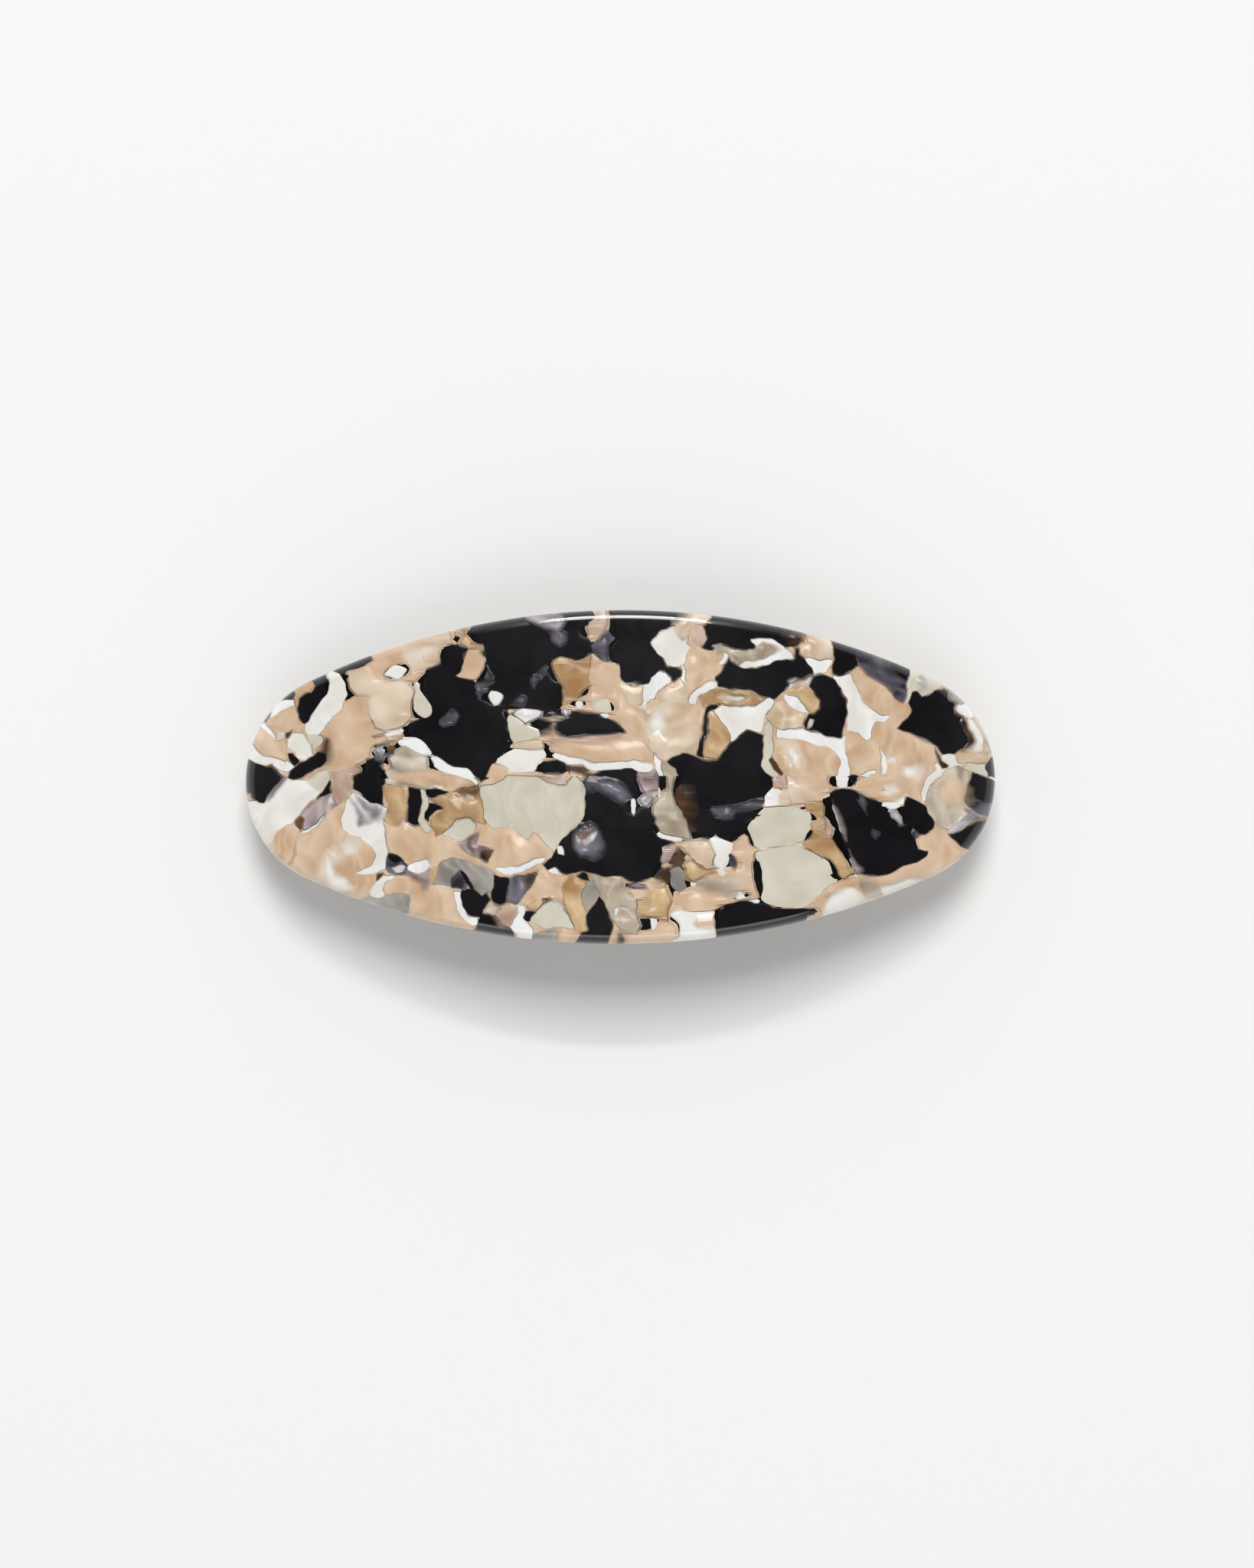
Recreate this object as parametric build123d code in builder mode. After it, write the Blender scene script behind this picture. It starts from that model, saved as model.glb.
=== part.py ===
from build123d import *
import os
from math import sqrt

# Oval hair barrette: an arched acetate plate riveted to a sprung steel clasp.
# Row frame: X along the plate, Y across it, +Z up through the polished face.
# The origin is on the table, under the middle, with the barrette lying on its clasp.
# All lengths are in millimetres.

os.makedirs("parts", exist_ok=True)

# ---- acetate plate ----
PLATE_LENGTH = 96.0
PLATE_WIDTH = 42.3
PLATE_THICKNESS = 4.0
PLATE_END_RADIUS = 13.8
FACE_RADIUS = 160.0  # bend of the polished face, about an axis along Y
FRONT_ROUND = 1.2
BACK_ROUND = 0.6
OVERALL_HEIGHT = 15.9

# ---- sheet metal ----
STRIP = 0.8  # plated steel of the base and the arm
SPRING_STRIP = 0.4
LATCH_STRIP = 0.5
BEAD_DEPTH = 0.35
BEAD_WIDTH = 2.4
GROOVE_WIDTH = 1.4

# ---- base strip ----
BASE_LENGTH = 80.0
BASE_WIDTH = 9.0
BASE_WAIST = 7.6
BASE_BEAD_LENGTH = 30.0
BASE_CORNER = 1.4

# ---- hinge ----
PIN_X = -37.2
PIN_Z = 3.0
PIN_RADIUS = 0.6
PIN_RUNNING_GAP = 0.05
PIN_HEAD_RADIUS = 1.05
PIN_HEAD_HEIGHT = 0.35
PIN_HEAD_ROUND = 0.25
BASE_EAR_RADIUS = 1.8
BASE_EAR_LENGTH = 5.6
ARM_EAR_RADIUS = 1.6
EAR_SIDE_GAP = 0.2

# ---- rivets that hold the clasp on the plate ----
RIVET_XS = (-22.0, -18.0, 18.0, 22.0)
RIVET_RADIUS = 0.8
RIVET_HEAD_RADIUS = 1.4
RIVET_HEAD_HEIGHT = 0.6
RIVET_HEAD_ROUND = 0.45
RIVET_DEPTH = 2.4  # into the plate
RIVET_TIP_GAP = 0.2
SEATING_GAP = 0.01  # a flat head stands this far off the arched metal, so they don't cross

# ---- tension spring and the bridges that keep it ----
FOOT_X = 30.3  # middle of each foot, which lies under a bridge
FOOT_LENGTH = 3.4
SPRING_WIDTH = 4.4
SPRING_END_WIDTH = 6.0
SPRING_END_LENGTH = 0.9
SPRING_GAP = 0.05
SPRING_DROP = 3.2  # from the base to the far side of the bow
BRIDGE_LENGTH = 1.4
BRIDGE_LEG = 0.6
BRIDGE_STRIP = 0.4
BRIDGE_SIDE_GAP = 0.15

# ---- latch ----
LATCH_X = 36.3
SEAT_START_X = 33.0
SEAT_END_X = 39.6
SEAT_CORNER = 0.8
WING_LENGTH = 4.6
WING_ROOT_Y = 4.2
WING_BEND = 0.26
WING_GAP = 0.06  # between a wing and the seat, where the real strip bends
LATCH_RIVET_RADIUS = 0.7
LATCH_RIVET_HEAD_RADIUS = 1.3
LATCH_RIVET_HEAD_HEIGHT = 0.5

# ---- arm ----
ARM_START_X = -38.7
ARM_END_X = 41.4
ARM_HINGE_FLAT_X = -34.4
ARM_TAPER_X = -32.0  # where the arm starts to widen from the hinge
ARM_LATCH_FLAT_X = 31.8
ARM_LATCH_LIFT = 1.2  # the wing tips reach this far past the arm
ARM_ARCH_Z = 3.0
ARM_BEND_RADIUS = 12.0
ARM_MIDDLE_WIDTH = 8.2
ARM_LATCH_WIDTH = 8.0
WINDOW_LENGTH = 6.4
WINDOW_WIDTH = 4.6
WINDOW_CORNER = 0.5

# ---- worked out from the above ----
ARCH_Z = OVERALL_HEIGHT - FACE_RADIUS
BACK_RADIUS = FACE_RADIUS - PLATE_THICKNESS
BASE_RADIUS = BACK_RADIUS - STRIP  # underside of the base strip
MIDDLE_RADIUS = BACK_RADIUS - STRIP / 2
SEAT_RADIUS = BASE_RADIUS - LATCH_STRIP
BASE_EAR_Y = (BASE_WIDTH - STRIP) / 2
ARM_HINGE_WIDTH = BASE_WIDTH - 2 * (STRIP + EAR_SIDE_GAP)
ARM_EAR_Y = (ARM_HINGE_WIDTH - STRIP) / 2


def arch_height(radius, x):
    """Height at x of the circle of this radius about the arch's axis."""
    return ARCH_Z + sqrt(radius**2 - x**2)


def arch_plane(x, radius):
    """Plane tangent to the arch, with its normal pointing away from the plate.

    Its origin is on the spoke that meets the plate's back at x.
    """
    lean = x / BACK_RADIUS
    rise = sqrt(1 - lean**2)
    return Plane(
        origin=(lean * radius, 0, ARCH_Z + rise * radius),
        x_dir=(rise, 0, -lean),
        z_dir=(-lean, 0, -rise),
    )


def side_plane(y):
    """Plane across Y at y, drawn in X and Z."""
    return Plane.XZ.offset(-y)


def arched_band(outer, inner, x_from, x_to, width, mode=Mode.ADD):
    """Adds a strip of this width that follows the arch between two radii."""
    with BuildSketch(Plane.XZ) as band:
        with Locations((0, ARCH_Z)):
            Circle(outer)
            Circle(inner, mode=Mode.SUBTRACT)
        with Locations(((x_from + x_to) / 2, ARCH_Z + outer)):
            Rectangle(x_to - x_from, outer, mode=Mode.INTERSECT)
    extrude(band.sketch, amount=width / 2, both=True, mode=mode)


def waisted_outline(length, end_width, middle_width, corner):
    """Sketch, seen from above, of a strip whose long edges are shallow arcs."""
    half, end, middle = length / 2, end_width / 2, middle_width / 2
    with BuildLine() as outline:
        top = ThreePointArc((-half, end), (0, middle), (half, end))
        Line(top @ 1, (half, -end))
        bottom = ThreePointArc((half, -end), (0, -middle), (-half, -end))
        Line(bottom @ 1, top @ 0)
    face = make_face(outline.edges())
    fillet(face.vertices(), corner)


def face_of_radius(part, radius):
    """The part's cylindrical face of this radius."""
    round_faces = part.faces().filter_by(GeomType.CYLINDER)
    return round_faces.filter_by(lambda face: abs(face.radius - radius) < 0.01)[0]


# ---- acetate plate: a four-arc oval, cut through an arched sheet and polished round ----
half_length, half_width = PLATE_LENGTH / 2, PLATE_WIDTH / 2
end_centre_x = half_length - PLATE_END_RADIUS
side_radius = (half_length**2 + half_width**2 - PLATE_LENGTH * PLATE_END_RADIUS) / (
    PLATE_WIDTH - 2 * PLATE_END_RADIUS
)
join_share = side_radius / (side_radius - PLATE_END_RADIUS)
join_x = end_centre_x * join_share
join_y = (side_radius - half_width) * (join_share - 1)

with BuildPart() as acetate_plate:
    arched_band(FACE_RADIUS, BACK_RADIUS, -half_length - 1, half_length + 1, PLATE_WIDTH + 2)
    with BuildSketch(Plane.XY):
        with BuildLine():
            ThreePointArc((-join_x, join_y), (0, half_width), (join_x, join_y))
            ThreePointArc((join_x, join_y), (half_length, 0), (join_x, -join_y))
            ThreePointArc((join_x, -join_y), (0, -half_width), (-join_x, -join_y))
            ThreePointArc((-join_x, -join_y), (-half_length, 0), (-join_x, join_y))
        make_face()
    extrude(amount=2 * OVERALL_HEIGHT, mode=Mode.INTERSECT)
    fillet(face_of_radius(acetate_plate, FACE_RADIUS).edges(), FRONT_ROUND)
    fillet(face_of_radius(acetate_plate, BACK_RADIUS).edges(), BACK_ROUND)
    with Locations([arch_plane(x, BACK_RADIUS) for x in RIVET_XS]):
        Hole(RIVET_RADIUS, depth=RIVET_DEPTH + RIVET_TIP_GAP)
acetate_plate.part.label = "acetate_plate"
export_step(acetate_plate.part, "parts/acetate_plate.step")

# ---- base strip: the waisted steel strip under the plate, with ears and spring bridges ----
bridge_height = SPRING_STRIP + 2 * SPRING_GAP
bridge_width = SPRING_WIDTH + 2 * (BRIDGE_SIDE_GAP + BRIDGE_LEG)

with BuildPart() as base_strip:
    arched_band(BACK_RADIUS, BASE_RADIUS, -half_length, half_length, 2 * BASE_WIDTH)
    with BuildSketch(Plane.XY):
        waisted_outline(BASE_LENGTH, BASE_WIDTH, BASE_WAIST, corner=BASE_CORNER)
    extrude(amount=2 * OVERALL_HEIGHT, mode=Mode.INTERSECT)
    bead_end = BASE_BEAD_LENGTH / 2
    arched_band(MIDDLE_RADIUS, BASE_RADIUS - BEAD_DEPTH, -bead_end, bead_end, BEAD_WIDTH)
    arched_band(
        BACK_RADIUS,
        BACK_RADIUS - BEAD_DEPTH,
        -bead_end + STRIP,
        bead_end - STRIP,
        GROOVE_WIDTH,
        mode=Mode.SUBTRACT,
    )
    for side in (-1, 1):
        with BuildSketch(side_plane(side * BASE_EAR_Y)):
            with Locations((PIN_X, PIN_Z)):
                Circle(BASE_EAR_RADIUS)
            with Locations((PIN_X, arch_height(BACK_RADIUS, PIN_X))):
                Rectangle(BASE_EAR_LENGTH, STRIP)
            make_hull()
            with Locations((0, ARCH_Z)):
                Circle(MIDDLE_RADIUS, mode=Mode.INTERSECT)
        extrude(amount=STRIP / 2, both=True)
    with BuildSketch(Plane.XZ):
        with Locations((PIN_X, PIN_Z)):
            Circle(PIN_RADIUS)
    extrude(amount=BASE_WIDTH, both=True, mode=Mode.SUBTRACT)
    for x in (-FOOT_X, FOOT_X):
        with BuildSketch(arch_plane(x, MIDDLE_RADIUS)):
            with GridLocations(1, bridge_width - BRIDGE_LEG, 1, 2):
                Rectangle(BRIDGE_LENGTH, BRIDGE_LEG)
        extrude(amount=STRIP / 2 + bridge_height + BRIDGE_STRIP)
        with BuildSketch(arch_plane(x, BASE_RADIUS - bridge_height)):
            Rectangle(BRIDGE_LENGTH, bridge_width)
        extrude(amount=BRIDGE_STRIP)
    with Locations([-arch_plane(x, BACK_RADIUS) for x in RIVET_XS]):
        Hole(RIVET_RADIUS, depth=2 * STRIP)
    with Locations(-arch_plane(LATCH_X, BACK_RADIUS)):
        CounterSinkHole(LATCH_RIVET_RADIUS, LATCH_RIVET_HEAD_RADIUS, depth=2 * STRIP)
base_strip.part.label = "base_strip"
export_step(base_strip.part, "parts/base_strip.step")

# ---- mounting rivets: round heads under the base, shanks set into the plate ----
with BuildPart() as mounting_rivets:
    for x in RIVET_XS:
        with BuildSketch(arch_plane(x, BASE_RADIUS - SEATING_GAP)):
            Circle(RIVET_HEAD_RADIUS)
        head = extrude(amount=RIVET_HEAD_HEIGHT)
        down = Axis((x, 0, 0), arch_plane(x, BASE_RADIUS).z_dir)
        fillet(head.edges().sort_by(down)[-1], RIVET_HEAD_ROUND)
        with BuildSketch(arch_plane(x, BASE_RADIUS - SEATING_GAP)):
            Circle(RIVET_RADIUS)
        extrude(amount=-(STRIP + RIVET_DEPTH))
mounting_rivets.part.label = "mounting_rivets"
export_step(mounting_rivets.part, "parts/mounting_rivets.step")

# ---- hinge pin: pressed into the base's ears, headed over at both ends ----
with BuildPart() as hinge_pin:
    with BuildSketch(Plane.XZ):
        with Locations((PIN_X, PIN_Z)):
            Circle(PIN_RADIUS)
    extrude(amount=BASE_WIDTH / 2 + PIN_HEAD_HEIGHT, both=True)
    for side in (-1, 1):
        with BuildSketch(side_plane(side * (BASE_WIDTH / 2 + PIN_HEAD_HEIGHT / 2))):
            with Locations((PIN_X, PIN_Z)):
                Circle(PIN_HEAD_RADIUS)
        extrude(amount=PIN_HEAD_HEIGHT / 2, both=True)
    head_rims = hinge_pin.edges().filter_by(GeomType.CIRCLE).group_by(Axis.Y)
    fillet(head_rims[0] + head_rims[-1], PIN_HEAD_ROUND)
hinge_pin.part.label = "hinge_pin"
export_step(hinge_pin.part, "parts/hinge_pin.step")

# ---- tension spring: a bow between two feet, which slide under the bridges ----
foot_plane = arch_plane(FOOT_X, BASE_RADIUS - SPRING_GAP - SPRING_STRIP / 2)
foot_outer = foot_plane.from_local_coords((FOOT_LENGTH / 2, 0, 0))
foot_inner = foot_plane.from_local_coords((-FOOT_LENGTH / 2, 0, 0))
bow_z = arch_height(BASE_RADIUS, 0) - SPRING_DROP + SPRING_STRIP / 2

with BuildPart() as tension_spring:
    with BuildSketch(Plane.XZ):
        with BuildLine():
            Line((-foot_outer.X, foot_outer.Z), (-foot_inner.X, foot_inner.Z))
            ThreePointArc(
                (-foot_inner.X, foot_inner.Z), (0, bow_z), (foot_inner.X, foot_inner.Z)
            )
            Line((foot_inner.X, foot_inner.Z), (foot_outer.X, foot_outer.Z))
            offset(amount=SPRING_STRIP / 2)
        make_face()
    extrude(amount=SPRING_END_WIDTH / 2, both=True)
    with BuildSketch(Plane.XY):
        Rectangle(2 * (foot_outer.X + SPRING_STRIP), SPRING_WIDTH)
        for side in (-1, 1):
            with Locations((side * (foot_outer.X - SPRING_END_LENGTH / 4), 0)):
                Rectangle(SPRING_END_LENGTH, SPRING_END_WIDTH)
    extrude(amount=2 * OVERALL_HEIGHT, mode=Mode.INTERSECT)
tension_spring.part.label = "tension_spring"
export_step(tension_spring.part, "parts/tension_spring.step")

# ---- latch seat: the flat of the latch spring, riveted under the base ----
seat_length = SEAT_END_X - SEAT_START_X
seat_width = 2 * WING_ROOT_Y + LATCH_STRIP

with BuildPart() as latch_seat:
    arched_band(BASE_RADIUS, SEAT_RADIUS, SEAT_START_X - 1, SEAT_END_X + 1, 2 * seat_width)
    with BuildSketch(Plane.XY):
        with Locations(((SEAT_START_X + SEAT_END_X) / 2, 0)):
            RectangleRounded(seat_length, seat_width, SEAT_CORNER)
    extrude(amount=2 * OVERALL_HEIGHT, mode=Mode.INTERSECT)
    with Locations(-arch_plane(LATCH_X, BASE_RADIUS)):
        Hole(LATCH_RIVET_RADIUS, depth=2 * LATCH_STRIP)
latch_seat.part.label = "latch_seat"
export_step(latch_seat.part, "parts/latch_seat.step")

# ---- latch rivet: flush with the top of the base, domed under the seat ----
latch_plane = arch_plane(LATCH_X, BACK_RADIUS)
latch_section = Plane(latch_plane.origin, x_dir=latch_plane.x_dir, z_dir=(0, 1, 0))
shank_length = STRIP + LATCH_STRIP + SEATING_GAP
sink_depth = LATCH_RIVET_HEAD_RADIUS - LATCH_RIVET_RADIUS  # a 90 degree countersink
dome_top = (0, shank_length + LATCH_RIVET_HEAD_HEIGHT)

with BuildPart() as latch_rivet:
    with BuildSketch(latch_section):
        with BuildLine():
            Polyline(
                (0, SEATING_GAP),
                (LATCH_RIVET_HEAD_RADIUS - SEATING_GAP, SEATING_GAP),
                (LATCH_RIVET_RADIUS, sink_depth),
                (LATCH_RIVET_RADIUS, shank_length),
                (LATCH_RIVET_HEAD_RADIUS, shank_length),
            )
            TangentArc(dome_top, (LATCH_RIVET_HEAD_RADIUS, shank_length), tangent=(1, 0))
            Line(dome_top, (0, SEATING_GAP))
        make_face()
    revolve(axis=Axis(latch_plane.origin, latch_plane.z_dir))
latch_rivet.part.label = "latch_rivet"
export_step(latch_rivet.part, "parts/latch_rivet.step")

# ---- latch wings: they bulge past the arm for finger and thumb, then hook under it ----
WING_PATH = (  # y and z of the strip's middle, from the seat to the tip
    (WING_ROOT_Y, 9.0),
    (WING_ROOT_Y, 6.1),
    (5.35, 4.7),
    (4.85, 3.35),
    (2.5, 2.75),
    (1.95, 2.35),
    (1.95, 1.05),
    (2.5, 0.6),
    (1.5, 0.25),
)

for side, name in ((1, "latch_wing_left"), (-1, "latch_wing_right")):
    with BuildPart() as latch_wing:
        with BuildSketch(Plane.YZ.offset(LATCH_X)):
            with BuildLine():
                FilletPolyline(*[(side * y, z) for y, z in WING_PATH], radius=WING_BEND)
                offset(amount=LATCH_STRIP / 2)
            make_face()
        extrude(amount=WING_LENGTH / 2, both=True)
        with BuildSketch(Plane.XZ):
            with Locations((0, ARCH_Z)):
                Circle(SEAT_RADIUS - WING_GAP)
        extrude(amount=BASE_WIDTH, both=True, mode=Mode.INTERSECT)
    latch_wing.part.label = name
    export_step(latch_wing.part, f"parts/{name}.step")

# ---- clasp arm: an arched strip, eared at the hinge and windowed at the latch ----
arm_low = STRIP / 2
arm_latch = ARM_LATCH_LIFT + STRIP / 2

with BuildPart() as clasp_arm:
    with BuildSketch(Plane.XZ):
        with BuildLine() as arm_line:
            Line((ARM_START_X, arm_low), (ARM_HINGE_FLAT_X, arm_low))
            ThreePointArc(
                (ARM_HINGE_FLAT_X, arm_low), (0, ARM_ARCH_Z), (ARM_LATCH_FLAT_X, arm_latch)
            )
            Line((ARM_LATCH_FLAT_X, arm_latch), (ARM_END_X, arm_latch))
            inner_corners = arm_line.vertices().sort_by(Axis.X)[1:-1]
            fillet(inner_corners, ARM_BEND_RADIUS)
            offset(amount=STRIP / 2)
        make_face()
    extrude(amount=ARM_MIDDLE_WIDTH / 2, both=True)
    with BuildSketch(Plane.XY):
        with BuildLine():
            hinge_edge = [
                (ARM_START_X - STRIP, ARM_HINGE_WIDTH / 2),
                (ARM_TAPER_X, ARM_HINGE_WIDTH / 2),
            ]
            latch_edge = [(ARM_LATCH_FLAT_X, ARM_LATCH_WIDTH / 2), (ARM_END_X, ARM_LATCH_WIDTH / 2)]
            Line(*hinge_edge)
            ThreePointArc(hinge_edge[1], (0, ARM_MIDDLE_WIDTH / 2), latch_edge[0])
            Line(*latch_edge)
            Line(latch_edge[1], (ARM_END_X, 0))
            Line((ARM_END_X, 0), (hinge_edge[0][0], 0))
            Line((hinge_edge[0][0], 0), hinge_edge[0])
        make_face()
        mirror(about=Plane.XZ)
    extrude(amount=2 * OVERALL_HEIGHT, both=True, mode=Mode.INTERSECT)
    with BuildSketch(Plane.XY):
        with Locations((LATCH_X, 0)):
            RectangleRounded(WINDOW_LENGTH, WINDOW_WIDTH, WINDOW_CORNER)
    extrude(amount=OVERALL_HEIGHT, both=True, mode=Mode.SUBTRACT)
    for side in (-1, 1):
        with BuildSketch(side_plane(side * ARM_EAR_Y)):
            with Locations((PIN_X, PIN_Z)):
                Circle(ARM_EAR_RADIUS)
            with Locations(((ARM_START_X + ARM_HINGE_FLAT_X) / 2, arm_low)):
                Rectangle(ARM_HINGE_FLAT_X - ARM_START_X, STRIP)
            make_hull()
        extrude(amount=STRIP / 2, both=True)
    with BuildSketch(Plane.XZ):
        with Locations((PIN_X, PIN_Z)):
            Circle(PIN_RADIUS + PIN_RUNNING_GAP)
    extrude(amount=BASE_WIDTH, both=True, mode=Mode.SUBTRACT)
clasp_arm.part.label = "clasp_arm"
export_step(clasp_arm.part, "parts/clasp_arm.step")
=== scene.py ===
import bmesh
import bpy
import numpy as np
from math import atan2, cos, pi, radians, sin
from mathutils import Matrix, Vector, noise


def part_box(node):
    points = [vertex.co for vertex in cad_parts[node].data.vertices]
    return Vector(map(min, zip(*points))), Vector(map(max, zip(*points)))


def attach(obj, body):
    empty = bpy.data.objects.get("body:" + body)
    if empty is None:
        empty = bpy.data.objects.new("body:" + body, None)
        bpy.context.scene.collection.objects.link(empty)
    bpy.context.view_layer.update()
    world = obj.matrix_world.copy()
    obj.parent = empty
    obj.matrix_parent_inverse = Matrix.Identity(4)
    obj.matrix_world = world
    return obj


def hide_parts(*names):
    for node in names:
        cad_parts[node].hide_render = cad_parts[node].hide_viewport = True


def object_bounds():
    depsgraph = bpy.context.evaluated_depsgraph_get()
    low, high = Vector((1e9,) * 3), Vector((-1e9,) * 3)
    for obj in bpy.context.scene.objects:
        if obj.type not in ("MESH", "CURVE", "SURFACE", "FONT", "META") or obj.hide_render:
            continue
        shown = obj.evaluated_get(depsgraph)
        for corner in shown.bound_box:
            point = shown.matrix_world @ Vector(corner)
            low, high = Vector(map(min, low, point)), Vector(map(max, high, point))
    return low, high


MM = 0.001
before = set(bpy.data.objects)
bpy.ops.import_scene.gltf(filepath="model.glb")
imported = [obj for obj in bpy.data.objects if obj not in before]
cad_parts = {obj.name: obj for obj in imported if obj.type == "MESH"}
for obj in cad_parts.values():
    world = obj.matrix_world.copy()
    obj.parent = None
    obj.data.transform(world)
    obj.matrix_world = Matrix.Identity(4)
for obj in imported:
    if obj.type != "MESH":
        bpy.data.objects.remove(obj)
cad_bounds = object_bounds()
plate_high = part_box("acetate_plate")[1]

# ------------------------------------------------------------------ the plate's shape, in mm
HALF_LENGTH = plate_high.x / MM
HALF_WIDTH = plate_high.y / MM
TOP = plate_high.z / MM
THICK = 4.0
FACE_RADIUS = 160.0
END_RADIUS = 13.8
FRONT_ROUND = 1.2
BACK_ROUND = 0.6

# ------------------------------------------------------------------ the chips, in mm
# The sheet is pressed from chips of coloured acetate in a ground of tan. Each chip is a colour
# and the corners of its outline on the plate's face, x along the plate and y across it, and a
# later chip lies over an earlier one. "blur" is how far its edge bleeds into its neighbours. The
# ivory ones with the widest blur are not chips themselves but painted highlights, the glow of
# bright lumps inside a tan chip. The silver ones are pearl chips whose bright streaks are
# painted glints.
CHIPS = []


def chip(kind, *corners, blur=0.05):
    CHIPS.append((kind, corners, blur))


# --- left end
chip("ivory", (-48.5, -2.5), (-46.5, -2.6), (-44.5, -1.6), (-42.6, .6), (-41, 0), (-37.2, .3),
     (-37.4, -.8), (-38.2, -1.9), (-39.3, -2.6), (-41, -4.5), (-41.6, -5.4), (-42.6, -5.7),
     (-43.6, -6.6), (-44.8, -8.6), (-46, -9.6), (-48.5, -6))
chip("cream", (-40, 0), (-39, .7), (-37.2, 1.4), (-36.8, .3), (-37.1, -.6), (-38, -1.5),
     (-39, -1.2), blur=.3)
chip("ivory", (-38, 13.6), (-35.6, 14.6), (-35, 13), (-34.7, 11.5), (-34.9, 10), (-35.8, 8.8),
     (-37, 7.5), (-38, 6), (-38.8, 5.6), (-39.7, 5.5), (-40.2, 7), (-39.5, 8), (-38.2, 9.9),
     (-37.2, 10.8), (-36.9, 12))
chip("black", (-39.4, 13), (-37.8, 13.3), (-37.2, 12.5), (-36.9, 11.8), (-37.3, 10.8), (-38, 9.9),
     (-38.9, 8.9), (-39.7, 7.6), (-40.4, 7.1), (-41, 7.8), (-41.1, 9), (-41, 10.3), (-40.2, 11),
     (-39.2, 11.2))
chip("honey", (-41.7, 11.9), (-40.2, 12.9), (-39.2, 12.8), (-39.1, 11.4), (-40.2, 11),
     (-40.9, 10.3), (-41, 9.2), (-41.4, 9.6), blur=.12)
chip("black", (-43.9, 10.1), (-42, 10.2), (-41.5, 10.9), (-41.6, 11.9), (-43, 11.5))
chip("white", (-44.7, 7.6), (-44.6, 9.6), (-43, 10.1), (-41.5, 10.4), (-41.4, 9.6), (-42.8, 9.1),
     (-44, 8.3))
chip("smoke", (-46.4, 7.2), (-45.1, 7.5), (-44.5, 8.6), (-44.2, 9.5), (-45.4, 9), blur=.15)
chip("putty", (-43.8, 6.2), (-42.7, 6.2), (-42.5, 5), (-43.9, 5), blur=.4)
chip("tan", (-44.9, 7), (-43, 8.8), (-41.5, 9.5), (-41.2, 8.4), (-40.8, 7), (-40.4, 6.5),
     (-42.8, 6.3), (-43.8, 6.2))
chip("white", (-46.1, 7.1), (-45.2, 7.6), (-44.9, 7), (-44.2, 6.2), (-43.9, 5.1), (-44.6, 5.7),
     (-45.4, 6.5))
chip("tan", (-47, 6.8), (-45.8, 6.9), (-45.2, 6.2), (-44.2, 5), (-42.9, 5.1), (-42.5, 4),
     (-42.6, 2.4), (-44, 2.9), (-45.6, 3.4), (-46.7, 4.3), (-47.4, 5.4))
chip("ivory", (-48.2, 4.6), (-47.1, 5.2), (-46.7, 4.3), (-45.6, 3.4), (-44, 2.9), (-42.6, 2.4),
     (-42.4, 1.2), (-43.6, 1.4), (-44.6, 2.1), (-46, 2), (-47.6, 2.6))
chip("mauve", (-44.3, 1.8), (-42.5, .6), (-43.4, -.9), (-44.8, -2.5), (-45.6, -2), (-44.4, 0),
     blur=.35)
chip("black", (-48.5, 2.8), (-47.5, 2.8), (-46.6, 2.4), (-45.2, 1.9), (-44.5, 2), (-43.7, 1.1),
     (-43.1, .4), (-43.9, -.6), (-45, -1.9), (-45.3, -2.7), (-46.1, -2.8), (-47, -2.3),
     (-47.3, -1.7), (-48.5, -1.6), blur=.1)
chip("brown", (-42.8, 6.2), (-41.7, 6.4), (-42.1, 5.7), (-42.6, 5.2), blur=.1)
chip("ivory", (-42.5, 5.3), (-41.7, 6), (-40.4, 6), (-40, 5.3), (-39.2, 4), (-39, 3.2),
     (-40.2, 2.5), (-41, 2.6), (-41.4, 3.6), (-42.4, 4.4), blur=.12)
chip("cream", (-39.9, 5.6), (-38.8, 5.9), (-38, 5.6), (-37.8, 4.8), (-38.8, 3.8), (-39.4, 4.6))
chip("black", (-42.4, 3.5), (-41.8, 3.5), (-41, 2.6), (-40.9, 2.2), (-41.6, 1.8), (-42, 2.3))
chip("white", (-42.6, 2.8), (-42, 2.2), (-41.5, 1.7), (-42, 1.2), (-42.7, 1.3))
chip("brown", (-39.2, 2.6), (-38, 4.2), (-37.6, 5.4), (-36.8, 5), (-36.7, 3.6), (-37.3, 1.9),
     (-38.5, 1.6), blur=.35)
chip("black", (-42.4, .4), (-41.9, 1.2), (-41.2, 1.9), (-39.8, 2.6), (-38.4, 3.6), (-37.3, 3.3),
     (-37.5, 2.1), (-38.1, 1.6), (-39.3, 1.1), (-40.3, .3), (-41.3, 0), blur=.12)
chip("brown", (-35.7, 7.9), (-35.1, 7.9), (-34.7, 6.3), (-35.3, 6.3), (-35.6, 7), blur=.15)
chip("black", (-37, .1), (-36.6, -1.3), (-36.4, -2), (-37.5, -2.2), (-38.8, -2.4), (-37.7, -1.2))
chip("rose", (-36.7, 1.1), (-35, 1.3), (-33.6, 1.7), (-32.6, 2.6), (-32.4, 1.6), (-33.4, .2),
     (-34, -1.5), (-35.5, -3), (-36.2, -3.2), (-36.7, -1.2), blur=.15)
chip("mauve", (-40.9, -4.7), (-39.5, -3), (-38.4, -2.4), (-37.6, -2), (-36.5, -1.8), (-36, -3.1),
     (-37, -4.2), (-38.6, -5.8), (-40, -6.4), (-40.7, -6.2), blur=.1)
chip("brown", (-41.5, -5.2), (-40.9, -4.5), (-40.2, -5), (-40.4, -6.2), (-40.8, -6.6), (-41.2, -6),
     blur=.15)
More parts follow.
